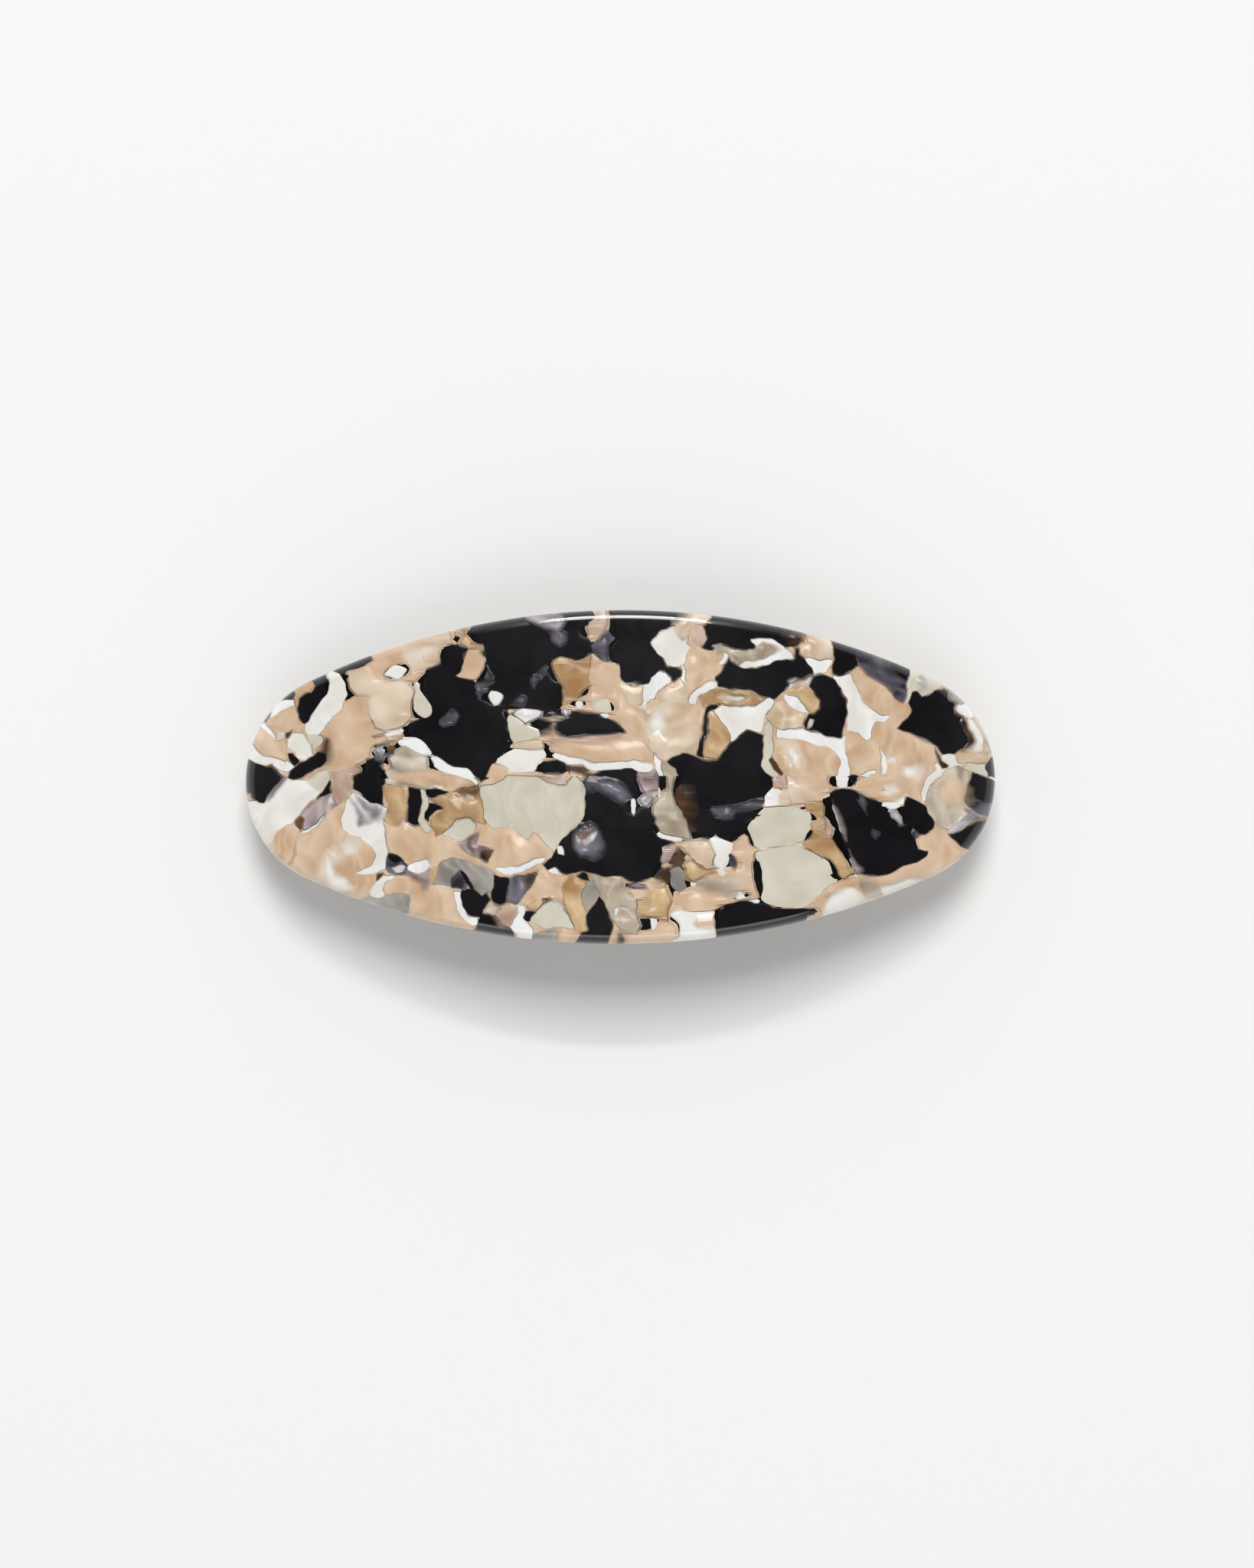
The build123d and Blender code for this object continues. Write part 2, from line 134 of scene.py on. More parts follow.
chip("white", (-40.9, -6.7), (-40, -6.4), (-38.3, -5.2), (-37.3, -4.1), (-37.6, -4.9), (-39, -6.2),
     (-40.2, -6.9))
chip("sand", (-41.4, -7.3), (-41.2, -8.8), (-41.8, -10.6), (-42.2, -10.8), (-41.5, -8.8))
chip("tan", (-45, -8.6), (-43.4, -6.5), (-42, -6.2), (-41.4, -7.5), (-42.2, -10.6), (-43.6, -10.8),
     blur=.5)

# painted highlights: the glow on two lumps of the tan, not chips
chip("ivory", (-35.2, -8.3), (-34.4, -7.8), (-33.5, -8.2), (-33.7, -9.2), (-34.8, -9.5), blur=.7)
chip("ivory", (-37.1, -9.2), (-36.3, -8.8), (-35.8, -9.6), (-36.6, -10.2), blur=.7)

# --- the tall pale chips at the left
chip("sand", (-33, 14.5), (-31.7, 14.5), (-31.4, 12.5), (-31.3, 11), (-31.5, 9.5), (-33, 10.3),
     (-34.4, 11.3), (-34.6, 12.7), (-34, 14.2), blur=.12)
chip("sand", (-31.4, 6.5), (-31.6, 9), (-31.3, 12), (-29.8, 12.3), (-28, 12.4), (-26.2, 12.2),
     (-26, 10), (-25.9, 8.5), (-26.8, 7.3), (-26.6, 6.2), (-28, 6.3), (-30, 5.9), (-31, 5.6),
     blur=.15)
chip("sand", (-24.6, 15), (-24.3, 17.4), (-22, 18.6), (-21, 17.9), (-21.8, 16.8), (-22.8, 15.3),
     (-23.3, 14.7), blur=.5)
chip("black", (-37, 13.9), (-34, 15.3), (-31.3, 16.4), (-31.1, 15.2), (-31.6, 14.5), (-33, 14.3),
     (-34.3, 13.9), (-35, 13.6), (-36, 13.9))
# painted highlight on a lump of the sand, not a chip
chip("ivory", (-27.6, 15.5), (-25, 16.5), (-23.4, 16.4), (-24.2, 15.3), (-26.5, 14.8), blur=.8)
chip("white", (-29.8, 13.1), (-29.4, 14.2), (-28.4, 14.6), (-27.5, 14.4), (-26.9, 13.6),
     (-27, 12.9), (-28, 12.5), (-29.2, 12.4))
chip("cream", (-26.2, 12.2), (-25, 12.6), (-24.8, 11.4), (-24.2, 9.7), (-23.4, 8.4), (-23, 7.3),
     (-23.5, 6.9), (-24.5, 7.4), (-25.4, 7.6), (-25.9, 8.4), (-26.1, 10), blur=.08)
chip("ivory", (-35.4, -5), (-34.8, -3), (-34, -1.6), (-32.6, -2.3), (-30.3, -3.5), (-29.4, -3.6),
     (-29.5, -4.6), (-30, -5.5), (-29.7, -7.5), (-29.5, -10), (-29.7, -11.3), (-30.8, -11.9),
     (-32.3, -12.1), (-33.9, -12.1), (-32.5, -11.4), (-31.3, -10.8), (-31.1, -9.7), (-31.6, -8.5),
     (-32.6, -7.6), (-34.2, -7.1), (-35.3, -6.2))
chip("silver_glint", (-34.4, -2.2), (-34, -1.6), (-32.6, -2.3), (-30.3, -3.5), (-29.8, -4.4),
     (-30.6, -5.2), (-32, -5.6), (-33.2, -6), (-33.6, -4), blur=.35)
chip("black", (-33, 1), (-32.2, 2.5), (-31.4, 3.9), (-30.4, 5), (-29.6, 4.8), (-29.6, 3.8),
     (-29.9, 2), (-29.9, 0), (-30, -1.2), (-30.2, -3.4), (-31.6, -3), (-32.8, -2), (-34, -1.3),
     (-33.7, 0))
chip("smoke", (-31.8, 2.8), (-30.5, 5.1), (-28.6, 4.9), (-28.9, 3.9), (-30, 3), (-30.4, 1.2),
     blur=.25)
# a painted highlight on the smoky wedge
chip("silver_glint", (-31.1, 3.7), (-30.3, 4.9), (-29, 4.6), (-29.9, 4), (-30.5, 2.6), blur=.3)
chip("brown", (-31.6, 5.4), (-30.4, 5.9), (-29.6, 5.4), (-30, 5), (-31, 4.9), blur=.15)
chip("ivory", (-30, 5.6), (-29.3, 6.1), (-28, 6.2), (-26.8, 6.2), (-27.2, 5.6), (-28.6, 5.6),
     (-29.4, 5.2), blur=.12)
chip("honey", (-29.8, 3.6), (-28.8, 5.1), (-27.4, 5.5), (-28, 4.4), (-28.8, 3), (-29.4, 2.1),
     blur=.15)
chip("brown", (-29.7, 3.4), (-29, 4.2), (-28.4, 4.1), (-28.8, 3), (-29.4, 2.1), blur=.2)

# --- the fan at the left of the middle
chip("putty", (-29.9, -.6), (-29.7, 1.2), (-28.9, 3), (-28, 4.4), (-27, 4.3), (-25.8, 3.9),
     (-24.6, 3), (-23.4, 1.6), (-22.2, .8), (-20.7, .2), (-22.5, -1.6), (-25.5, -1.2), (-28, -1))
chip("tan", (-29.2, 0), (-27, .8), (-24, 1.2), (-22.2, .9), (-20.7, .3), (-19.6, -.1), (-18.2, -.9),
     (-19.5, -1.3), (-21.5, -1.4), (-24, -1), (-27, -.4), blur=.4)
chip("honey", (-30.1, -1), (-29, -.9), (-27.2, -1.2), (-26.9, -2.5), (-26.8, -4), (-27.3, -5),
     (-28, -6), (-29.3, -5.8), (-30, -5), (-29.4, -3.8), blur=.2)
chip("black", (-26.9, -1.2), (-25.4, -1.3), (-25, -2.2), (-25.2, -3.5), (-25.5, -4.7), (-25.2, -6),
     (-26.2, -6.1), (-27.2, -5.6), (-27, -4.4), (-26.8, -2.5), blur=.12)
chip("black", (-24.7, -1.4), (-23, -1.5), (-21.5, -1.7), (-22.5, -2.1), (-24.1, -2.7),
     (-24.4, -2.2))
chip("honey", (-24.1, -2.9), (-22.5, -2.2), (-21, -1.6), (-19, -1.2), (-18, -1), (-17.6, -2.3),
     (-17.3, -3.6), (-16.9, -5.3), (-17.1, -6.1), (-18, -5.7), (-19, -5.2), (-20.5, -5.3),
     (-22, -6.6), (-23.2, -7.6), (-24, -6), (-23.8, -5), (-22.2, -3.8), (-23, -3.4))
chip("brown", (-20.6, -1.8), (-18, -1), (-17.6, -2.2), (-19.2, -2.4), blur=.4)
chip("black", (-24.2, -3.3), (-23, -3.4), (-22.2, -3.8), (-23.2, -4.1), (-24.1, -5.1),
     (-24.2, -5.8), (-24.8, -4.9), (-24.7, -4.3))
chip("cream", (-25.5, -1.3), (-24.8, -1.5), (-24.3, -2.6), (-24.3, -3.6), (-24.9, -4.5),
     (-24.6, -5.4), (-23.9, -6.5), (-24.6, -7), (-25.2, -6.2), (-25.5, -5.2), (-25.3, -4.2),
     (-25, -3), (-25.1, -2))
chip("cream", (-22.5, -7), (-21, -5.8), (-19.8, -5.1), (-19, -5.1), (-18.2, -5.9), (-18.4, -6.9),
     (-19.2, -7.7), (-20.5, -8), (-21.7, -7.4), blur=.1)
chip("mauve", (-20.7, -8.4), (-19.8, -8), (-18.9, -7.2), (-17.9, -6.8), (-18, -8.3), (-17.3, -8.7),
     (-16, -9), (-16.8, -10.9), (-18.4, -10.1), (-19.5, -9.4), blur=.15)
chip("brown", (-17.7, -9.3), (-16.7, -9.1), (-16, -8.9), (-16.3, -9.8), (-16.7, -10.8),
     (-17.9, -10.4), blur=.2)

# --- the lower left
chip("ivory", (-37.6, -12.4), (-37.4, -9.6), (-36.8, -9.8), (-36.4, -12), (-35, -12.6), (-34, -14),
     (-36, -14.2), blur=.6)
chip("smoke", (-29.4, -9.3), (-28.6, -9.6), (-27.3, -10.6), (-26.9, -10.9), (-27.4, -12),
     (-28.4, -12.2), (-29.6, -11.8), (-29.7, -10.6))
chip("black", (-29.4, -9.3), (-28.5, -9.7), (-27.3, -10.6), (-28.6, -10.8), (-29.4, -10.3),
     blur=.15)
chip("black", (-28.2, -10.8), (-26.8, -11.2), (-25.8, -11.9), (-27, -12.3), (-28.4, -12.1),
     blur=.12)
# painted glints on the dark chip
chip("silver_glint", (-29, -11.3), (-27.8, -11), (-27.1, -11.3), (-27.4, -11.9), (-28.5, -12), blur=.12)
chip("mauve", (-27.4, -11.7), (-25, -12), (-24.2, -11.6), (-24.2, -14.2), (-25, -14.2),
     (-25.3, -13.2), (-26.5, -12.7), blur=.15)
chip("white", (-26.9, -10.9), (-25.4, -10.4), (-24.3, -10.4), (-23.9, -11.1), (-24.6, -11.8),
     (-25.5, -12.1), (-27, -11.6), blur=.1)
chip("brown", (-31, -12.1), (-30, -12), (-30.5, -12.7), (-31.1, -13))
chip("ivory", (-31.6, -15.1), (-31.8, -14.2), (-31, -13.2), (-30.2, -12.5), (-29, -12.2),
     (-28.4, -12.5), (-29.6, -13.1), (-30.1, -13.9), (-29.8, -14.6), (-30.3, -15.2))
chip("grey", (-34, -15.9), (-32.2, -15.1), (-30.5, -15.2), (-29.7, -14.7), (-28.3, -14.5),
     (-26.6, -14.9), (-26.8, -16.2), (-27, -18))
chip("grey", (-23.7, -13.6), (-23.6, -11.9), (-22.6, -10.6), (-21.8, -10.3), (-20.2, -10.3),
     (-18.2, -11), (-16.6, -11.6), (-15.9, -12), (-15.9, -13.5), (-16.4, -14.4), (-17.6, -15.1),
     (-18.4, -14.2), (-19.3, -13), (-20.1, -11.8), (-20.9, -12.2), (-21.6, -12.8), (-21.4, -13.7))
chip("honey", (-24.1, -13.6), (-24.1, -11.8), (-23, -11), (-22.5, -10.6), (-23.2, -12),
     (-23.6, -13.5), blur=.2)
chip("smoke", (-21.6, -12.8), (-20.2, -11.7), (-19.4, -13.8), (-20, -14.2), (-21.3, -13.9),
     blur=.12)
chip("black", (-20.2, -11.7), (-19.7, -12), (-18.8, -13.5), (-17.6, -15.1), (-18.4, -15.2),
     (-19, -14.2), (-19.9, -12.9))
chip("black", (-20.1, -14.4), (-19.3, -14), (-18.3, -14.3), (-17.6, -15), (-16.9, -14.6),
     (-16.5, -15.4), (-16.9, -16), (-17.3, -17), (-17.6, -18), (-18.3, -17.9), (-19.3, -17.3),
     (-20, -16.1), (-20.2, -15.2))
chip("white", (-21.1, -14.4), (-20.1, -14.5), (-20.2, -15.6), (-19.8, -16.7), (-19, -17.5),
     (-17.7, -17.9), (-17.7, -18.5), (-18.6, -18.6), (-19.6, -18.2), (-20.4, -17.3), (-20.9, -16))
chip("black", (-17.6, -17.3), (-16.6, -17.3), (-15.8, -17.3), (-15, -18.4), (-13.6, -19.6),
     (-13, -20.8), (-18.6, -19.8), (-18.2, -18.7))
chip("putty", (-17.2, -17.3), (-16.8, -16.3), (-15.8, -16.2), (-15.1, -16.6), (-16, -17.4), blur=.1)

# --- the great black chip at the left of the middle
chip("black", (-25, 12.8), (-24.5, 13.8), (-23.2, 13.9), (-22.4, 15.4), (-21.8, 16.4),
     (-20.8, 17.1), (-19.1, 16.3), (-19.5, 14.9), (-20.5, 12.9), (-18.6, 12.2), (-17.1, 12),
     (-16, 11.4), (-14.4, 10.5), (-14.6, 8), (-14.3, 6.2), (-13.9, 4.8), (-14, 3.2), (-15, 2.8),
     (-15.8, 2.2), (-16.4, 1.2), (-16.7, -.2), (-17.6, -.7), (-18.2, 0), (-19, 1.1), (-20.3, 1.2),
     (-21.8, 1.1), (-23.2, 2.4), (-24.3, 3.8), (-25.6, 4.9), (-26.7, 5.5), (-26.6, 6.6),
     (-26.3, 7.5), (-25.4, 7.9), (-24.5, 7.5), (-23.5, 7), (-23.2, 7.6), (-23.7, 8.6), (-24.4, 10),
     (-24.9, 11.5))
chip("smoke", (-22.7, 7.4), (-21.6, 8.8), (-20.6, 8.2), (-20.2, 7.6), (-21, 6.9), (-22, 6.6),
     (-23, 6.6), blur=.15)
chip("smoke", (-18.4, 11.9), (-17.5, 11.4), (-17, 10.4), (-17.2, 9.8), (-17.8, 9.9), (-18.2, 10.8),
     blur=.15)
chip("white", (-28, 4.4), (-27.4, 5.3), (-26.4, 5.4), (-25.3, 4.8), (-24.2, 3.8), (-23, 2.5),
     (-21.9, 1.5), (-20.8, 1.25), (-19.3, 1.2), (-18.7, .4), (-17.9, -.6), (-18.2, -1),
     (-19.2, -.2), (-20.6, .1), (-22.3, .7), (-23.6, 1.6), (-24.7, 2.7), (-25.8, 3.6), (-27, 4))
chip("honey", (-20.7, 17.1), (-20.3, 19), (-19, 19.6), (-18.1, 19.2), (-17.9, 17.5), (-17.2, 16.9),
     (-18, 16.6), (-19.2, 16.4), (-20, 16.8), blur=.2)
chip("rose", (-20.8, 17.2), (-21.2, 19), (-20, 19.4), (-19.4, 18.3), (-20.2, 17.1), blur=.25)
chip("tan", (-20.5, 12.8), (-19.9, 14.3), (-19.2, 16.1), (-18.2, 16.5), (-17.8, 14), (-18.3, 12.1),
     (-19.4, 12.3), blur=.08)

# --- the black chips along the upper edge
chip("black", (-18, 19.8), (-15, 20.6), (-12, 21), (-6, 21.4), (-3.4, 21.4), (-3.3, 19.5),
     (-4.2, 18.8), (-4.1, 17.8), (-3.5, 16.3), (-3.4, 15.4), (-4.6, 15), (-6, 14.5), (-7, 14.9),
     (-9, 15.7), (-8.7, 14), (-8, 12.7), (-7.4, 11.8), (-7.1, 10.5), (-7, 9.5), (-7.1, 8.9),
     (-8.5, 8.2), (-10, 8.3), (-12, 8.7), (-13.5, 8.8), (-14.2, 8.4), (-14.8, 10.5), (-16, 11.2),
     (-17.4, 11.9), (-17, 14), (-17.1, 15.5), (-17.3, 16.8), (-18, 17.2))
chip("smoke", (-13.8, 9), (-12.4, 10.2), (-11.2, 12), (-10.2, 13.9), (-9.2, 14), (-8.9, 13.3),
     (-10.4, 12.2), (-11.4, 10.4), (-12.6, 9), blur=.3)
# a painted glint on the smoke streak
chip("silver_glint", (-10.8, 12.8), (-10.3, 13.6), (-9.6, 13.6), (-10, 13), blur=.2)
chip("smoke", (-16.6, 15.6), (-15.6, 14), (-15.9, 11.8), (-16.4, 12), (-16.6, 13.8), blur=.25)
chip("white", (-18.2, 16.8), (-17.4, 16.6), (-17, 15.4), (-17.2, 13.6), (-17.8, 12), (-18.3, 12),
     (-17.9, 14), (-17.8, 15.5))
chip("white", (-16.7, 10.8), (-16, 11), (-15.1, 11), (-14.7, 10.2), (-15, 9), (-16, 9.1),
     (-16.6, 10))
chip("silver_glint", (-11.6, 20.4), (-9.6, 19.1), (-8.7, 18.3), (-7.6, 17.9), (-7.5, 18.6), (-6.7, 19.4),
     (-7, 20.6), (-9, 20.8), blur=.3)
chip("smoke", (-9.4, 18.9), (-8.9, 17.4), (-7.8, 16), (-7.2, 17.4), (-7.5, 18.4), blur=.3)
chip("rose", (-4.3, 18.8), (-3.3, 20), (-3.2, 21.5), (-1, 21.5), (-.9, 19.3), (-1.3, 18.5),
     (-2.4, 18.1), (-3.3, 17.3), (-3.8, 18.1), blur=.2)
chip("honey", (-8.9, 15.5), (-7.2, 15.1), (-6, 14.6), (-4.6, 15), (-3.5, 15.4), (-3.6, 14),
     (-3.9, 12.6), (-3.6, 11.5), (-4.6, 10.6), (-5.3, 9.8), (-5.8, 9), (-7, 9), (-7.1, 10.5),
     (-7.5, 12), (-8.4, 13.6), blur=.12)
chip("smoke", (-3.5, 15.8), (-3.2, 17.4), (-2.3, 18.2), (-1.2, 18.6), (0, 19), (.8, 18.6),
     (-.1, 17.2), (-.5, 15.5), (-.6, 14.3), (-2, 14.6), (-2.9, 15.3), blur=.25)
chip("black", (-.3, 17.5), (-.8, 19.2), (-.8, 21.6), (4, 21.6), (9.4, 21), (9.2, 19.9), (6.5, 18.8),
     (5, 18), (3.9, 17), (4.8, 15.7), (5.8, 14.3), (6, 13.8), (7.2, 13.9), (7.8, 13.4), (7.8, 12.7),
     (7.2, 12.1), (6.6, 11.9), (6.5, 12.4), (5.9, 13), (5.1, 13.1), (4.3, 12.6), (3.8, 11.9),
     (2.9, 11.5), (1.6, 11.3), (.7, 11.8), (.1, 12.6), (.1, 13.6), (-.6, 15), (-.8, 16.2), blur=.08)
chip("black", (-4.9, 10.4), (-4.2, 11), (-3.8, 11.2), (-3.6, 10.4), (-3.9, 9.4), (-4.6, 10))
chip("ivory", (-5.5, 9.6), (-4.6, 9.8), (-4, 9.2), (-3.9, 8.4), (-4.7, 8.2), (-5.3, 8.9))
chip("cream", (-3.4, 9), (-3, 10.2), (-2.7, 11.3), (-2, 10.7), (-1.6, 9.8), (-1, 8.8), (-.9, 7.8),
     (-1.8, 7.9), (-2.6, 7.8), (-3.1, 8.3), blur=.15)
chip("silver_glint", (-8.3, 7.1), (-6.9, 8.7), (-6.6, 9.2), (-6, 8.6), (-5.6, 7.9), (-6.4, 7.6),
     (-7.5, 7.4), blur=.1)

# --- between the black chips, left of the middle
chip("cream", (-14.6, 7.9), (-13.5, 7.7), (-12.8, 7), (-12, 6.6), (-10.9, 6.9), (-10.4, 6.2),
     (-10, 5.1), (-11.5, 4.7), (-13, 4.2), (-13.9, 3.9), (-14, 5), (-14.4, 6.5))
chip("sand", (-13.9, 3.9), (-12, 4.5), (-10.4, 5), (-9.8, 4.2), (-9, 3.5), (-9, 3), (-10.3, 2.8),
     (-12, 3.3), (-13.9, 3.3))
chip("silver_glint", (-13.6, 8.8), (-12, 8.7), (-10.9, 8.5), (-9.3, 8.1), (-10.4, 7.4), (-11, 7),
     (-12.1, 6.7), (-12.9, 7.2), (-13.6, 7.9))
chip("black", (-10.8, 6.9), (-9.6, 8), (-8.3, 7.9), (-8.6, 6.8), (-8.5, 5.4), (-9.1, 4.2),
     (-9.6, 4.4), (-10.1, 5.2), (-10.5, 6.3), blur=.08)
chip("ivory", (-16, 2), (-15.2, 2.6), (-14.1, 3.2), (-13.8, 3.6), (-12, 3.4), (-10.5, 3.5),
     (-9, 3.3), (-8.9, 2.7), (-9.7, 2.3), (-10, 1.5), (-10.3, .5), (-12, .6), (-14.2, .4),
     (-14.3, 1.2), (-15, 1.7))
chip("rose", (-8.9, 5.2), (-5, 5.2), (.7, 5.6), (.9, 4.9), (-3, 4), (-7, 4), (-8.8, 4), blur=.4)
chip("black", (-8.6, 6.8), (-7.5, 7.4), (-6.2, 7.7), (-5.4, 8.4), (-4.2, 8.2), (-3.3, 8),
     (-2.6, 7.3), (-.8, 7.3), (.2, 6.4), (.8, 5.5), (-2, 5.2), (-5, 4.9), (-7.5, 4.8), (-8.3, 5.4),
     blur=.18)
chip("white", (-2.7, 7.6), (-1.8, 7.9), (-.8, 7.9), (-.8, 7.3), (-2.4, 7.2))
chip("cream", (-17.9, -1), (-16.8, -1.1), (-15.3, -.5), (-14.5, 0), (-13, .2), (-10.5, -.1),
     (-8.5, -.8), (-6.9, -1.2), (-6.5, -.6), (-5.8, .2), (-5.2, -.2), (-4.9, -.7), (-4.4, -1.6),
     (-4.5, -3.2), (-4.6, -5), (-5, -5.9), (-6, -6.6), (-7, -7.6), (-8.4, -9.5), (-9.3, -8.6),
     (-10, -7.7), (-11, -7), (-11.8, -7.9), (-12.8, -7.2), (-13.8, -6.3), (-15, -6.4),
     (-16.3, -6.4), (-17.1, -5.4), (-17.4, -3.6))
chip("black", (-9, 2.5), (-8.2, 2.2), (-7.4, 1.8), (-7, 1), (-6.8, .4), (-6.9, 0), (-7.8, .1),
     (-10.3, .5), (-10, 1.7), blur=.1)
chip("mauve", (-10.4, .3), (-8.6, .1), (-6.9, .1), (-6.8, -.9), (-8.4, -.5), blur=.3)
chip("brown", (-7.2, 1.5), (-5.3, 1.5), (-3.8, .9), (-3, .2), (-3.1, -.4), (-4.6, -.1), (-5.4, .4),
     (-6.6, .4), blur=.2)

# --- the black middle
chip("black", (-9.8, -11.1), (-8.6, -10.2), (-8.4, -9.6), (-7, -7.6), (-6, -6.7), (-5, -5.9),
     (-4.6, -5), (-4.4, -1.6), (-4.9, -.7), (-3.6, .2), (-2.5, .7), (.5, 1), (1.5, 1), (2.1, .5),
     (2.3, -1), (2.6, -2.3), (2.8, -3.7), (4.2, -4), (4.6, -5.3), (4.6, -6), (4.2, -6.6),
     (4.3, -7.3), (5.2, -7.8), (7.2, -8.4), (6.6, -8.8), (5.4, -9), (5.1, -10.2), (4.4, -11.8),
     (3.6, -13), (3.4, -13.6), (.4, -13.3), (0, -12.7), (-2.4, -12.6), (-3.8, -12.5), (-4.6, -12),
     (-5.4, -12), (-6.7, -12.5), (-7.6, -12.2), (-8.3, -11.6), (-9.1, -11.8))
chip("smoke", (-4.2, -.8), (-2, -.5), (.5, -1.6), (1.4, -3), (1.2, -4.4), (-.4, -3), (-2.4, -1.6),
     blur=.6)
chip("smoke", (-5.8, -7.2), (-4.9, -6.3), (-3.8, -6), (-3, -6.6), (-2.4, -7.6), (-2.2, -8.6),
     (-2.8, -9.8), (-4, -10.2), (-5.1, -10), (-5.8, -8.8), blur=.35)
chip("mauve", (-5.5, -7.3), (-4.6, -6.5), (-3.7, -6.4), (-3.5, -7.6), (-4.4, -8.8), (-5.3, -8.9),
     blur=.4)
# a painted glint: the bright streak on the smoky disc
chip("silver_glint", (-4.4, -8.9), (-3.4, -8.2), (-2.9, -7), (-3.5, -7.2), (-4.5, -8.1), blur=.2)
chip("white", (1.4, -2.9), (1.9, -2.9), (1.8, -4.6), (1.6, -5.2), (1.4, -4.4), blur=.1)
chip("white", (-8.1, -9), (-7.9, -8.8), (-7.4, -8.8), (-7.1, -9.9), (-8, -9.9))
chip("white", (-9.5, -11.9), (-8.9, -11.6), (-8.1, -11.6), (-7.7, -12.3), (-8.4, -12.3))
chip("white", (-15.9, -11.3), (-14.5, -11.4), (-13, -11.2), (-11.5, -10.7), (-10, -10.1),
     (-9.2, -10.2), (-9.9, -10.9), (-11.8, -11.7), (-13.4, -12.3), (-14.5, -12.3), (-15.3, -12))
chip("smoke", (-14.2, -12.7), (-13, -12.5), (-11.7, -12.3), (-10.5, -12.1), (-11, -13.2),
     (-11.9, -14.7), (-13.2, -16), (-14.3, -15.9), (-14.4, -14.5), blur=.08)
chip("brown", (-12.4, -12.7), (-10.4, -12), (-11, -13.2), (-11.6, -14.2), blur=.35)
chip("black", (-16.2, -12.2), (-15, -12.6), (-14.2, -12.7), (-14.1, -14), (-14.4, -15.2),
     (-14.3, -16), (-15.4, -16.3), (-16.4, -15.6), (-16.4, -14.6), (-15.9, -13.5), blur=.08)

# --- the lower edge, left of the middle
chip("tan", (-10.4, -12.3), (-9.8, -11.5), (-8.2, -12.4), (-7, -12.6), (-7.3, -13.5), (-8, -14.9),
     (-9.4, -15.4), (-10.6, -16), (-12, -16), (-13, -15.9), (-11.7, -14.6), (-10.9, -13.2))
chip("honey", (-7.3, -13.6), (-6.6, -12.8), (-5.5, -12.4), (-4.3, -13.4), (-4.8, -15),
     (-4.7, -16.5), (-4.2, -17.8), (-4.4, -19), (-4.2, -19.6), (-5.2, -19.8), (-6, -19),
     (-6.9, -17.5), (-7.2, -15.8), blur=.12)
chip("black", (-5.6, -12.5), (-4.8, -12.1), (-4.4, -12.2), (-3.9, -13.4), (-4.6, -13.1))
chip("honey", (-12, -16.4), (-10.6, -15.6), (-9.5, -15.2), (-8.6, -15.3), (-9.3, -15.8),
     (-9.9, -16.2), (-10.4, -16.9), (-11.6, -16.8), blur=.1)
chip("brown", (-9.9, -15.4), (-8.7, -15.2), (-9.2, -15.8), (-9.9, -15.9), blur=.1)
chip("cream", (-11.2, -17.6), (-10.4, -17), (-9.9, -16.1), (-9, -15.7), (-7.8, -15.9), (-7, -16.8),
     (-6.3, -18), (-6, -19.2), (-7, -19.2), (-8.1, -18.9), (-9.2, -19.2), (-10.6, -18.8),
     (-11.5, -18.2), blur=.1)
chip("black", (-12.1, -17), (-11.2, -17), (-10.4, -17.1), (-11.1, -17.6), (-11.5, -18.2),
     (-12, -18.1), (-12.3, -17.6))
chip("rose", (-15.8, -17.4), (-15, -16.6), (-13.3, -16.1), (-13, -17.3), (-13.6, -18.2),
     (-14.2, -18.9), (-15.2, -18.6), blur=.25)
chip("white", (-13.1, -16), (-12.1, -16.3), (-12.1, -17.2), (-12.3, -17.8), (-11.6, -18.5),
     (-11.2, -19.2), (-11, -20.8), (-12.4, -20.8), (-13.3, -19.7), (-14.1, -19), (-13.3, -17.9),
     (-13, -17))
chip("grey", (-10.9, -20), (-9.4, -19.4), (-8.4, -19.2), (-8, -19.6), (-7.8, -21), (-11, -21),
     blur=.15)
chip("putty", (-4.6, -12), (-2.5, -12.6), (-.2, -12.8), (.2, -14), (1.5, -15), (2.4, -18),
     (1.5, -21.3), (.9, -21.3), (-.2, -19.3), (-1.3, -18), (-1.7, -16.5), (-2.6, -14.8),
     (-3.4, -13.4), blur=.1)
chip("grey", (-4.3, -13.4), (-3.4, -13.3), (-2.6, -15), (-3.1, -15.7), (-3.9, -16.4), (-4.3, -17.2),
     (-4.8, -16.4), (-4.9, -15), blur=.1)
chip("black", (-2.7, -15.1), (-1.8, -16.6), (-1.4, -18), (-.9, -19), (-1.3, -20.2), (-1.6, -21.4),
     (-5.6, -21.4), (-4.9, -19.7), (-4.2, -19.5), (-4.4, -18), (-3.8, -16.8), (-3.1, -15.7))
chip("white", (-.8, -16.7), (-.1, -16.4), (-.3, -17.3), (-.6, -17.8), (-.8, -17.2))
chip("brown", (-.2, -19.7), (.5, -20.3), (.9, -21.4), (-.6, -21.4), blur=.2)
chip("smoke", (.4, -13.3), (3.4, -13.6), (3.6, -14.2), (3.3, -14.9), (2.3, -14.4), (1, -14.2),
     (.5, -14.4), blur=.1)

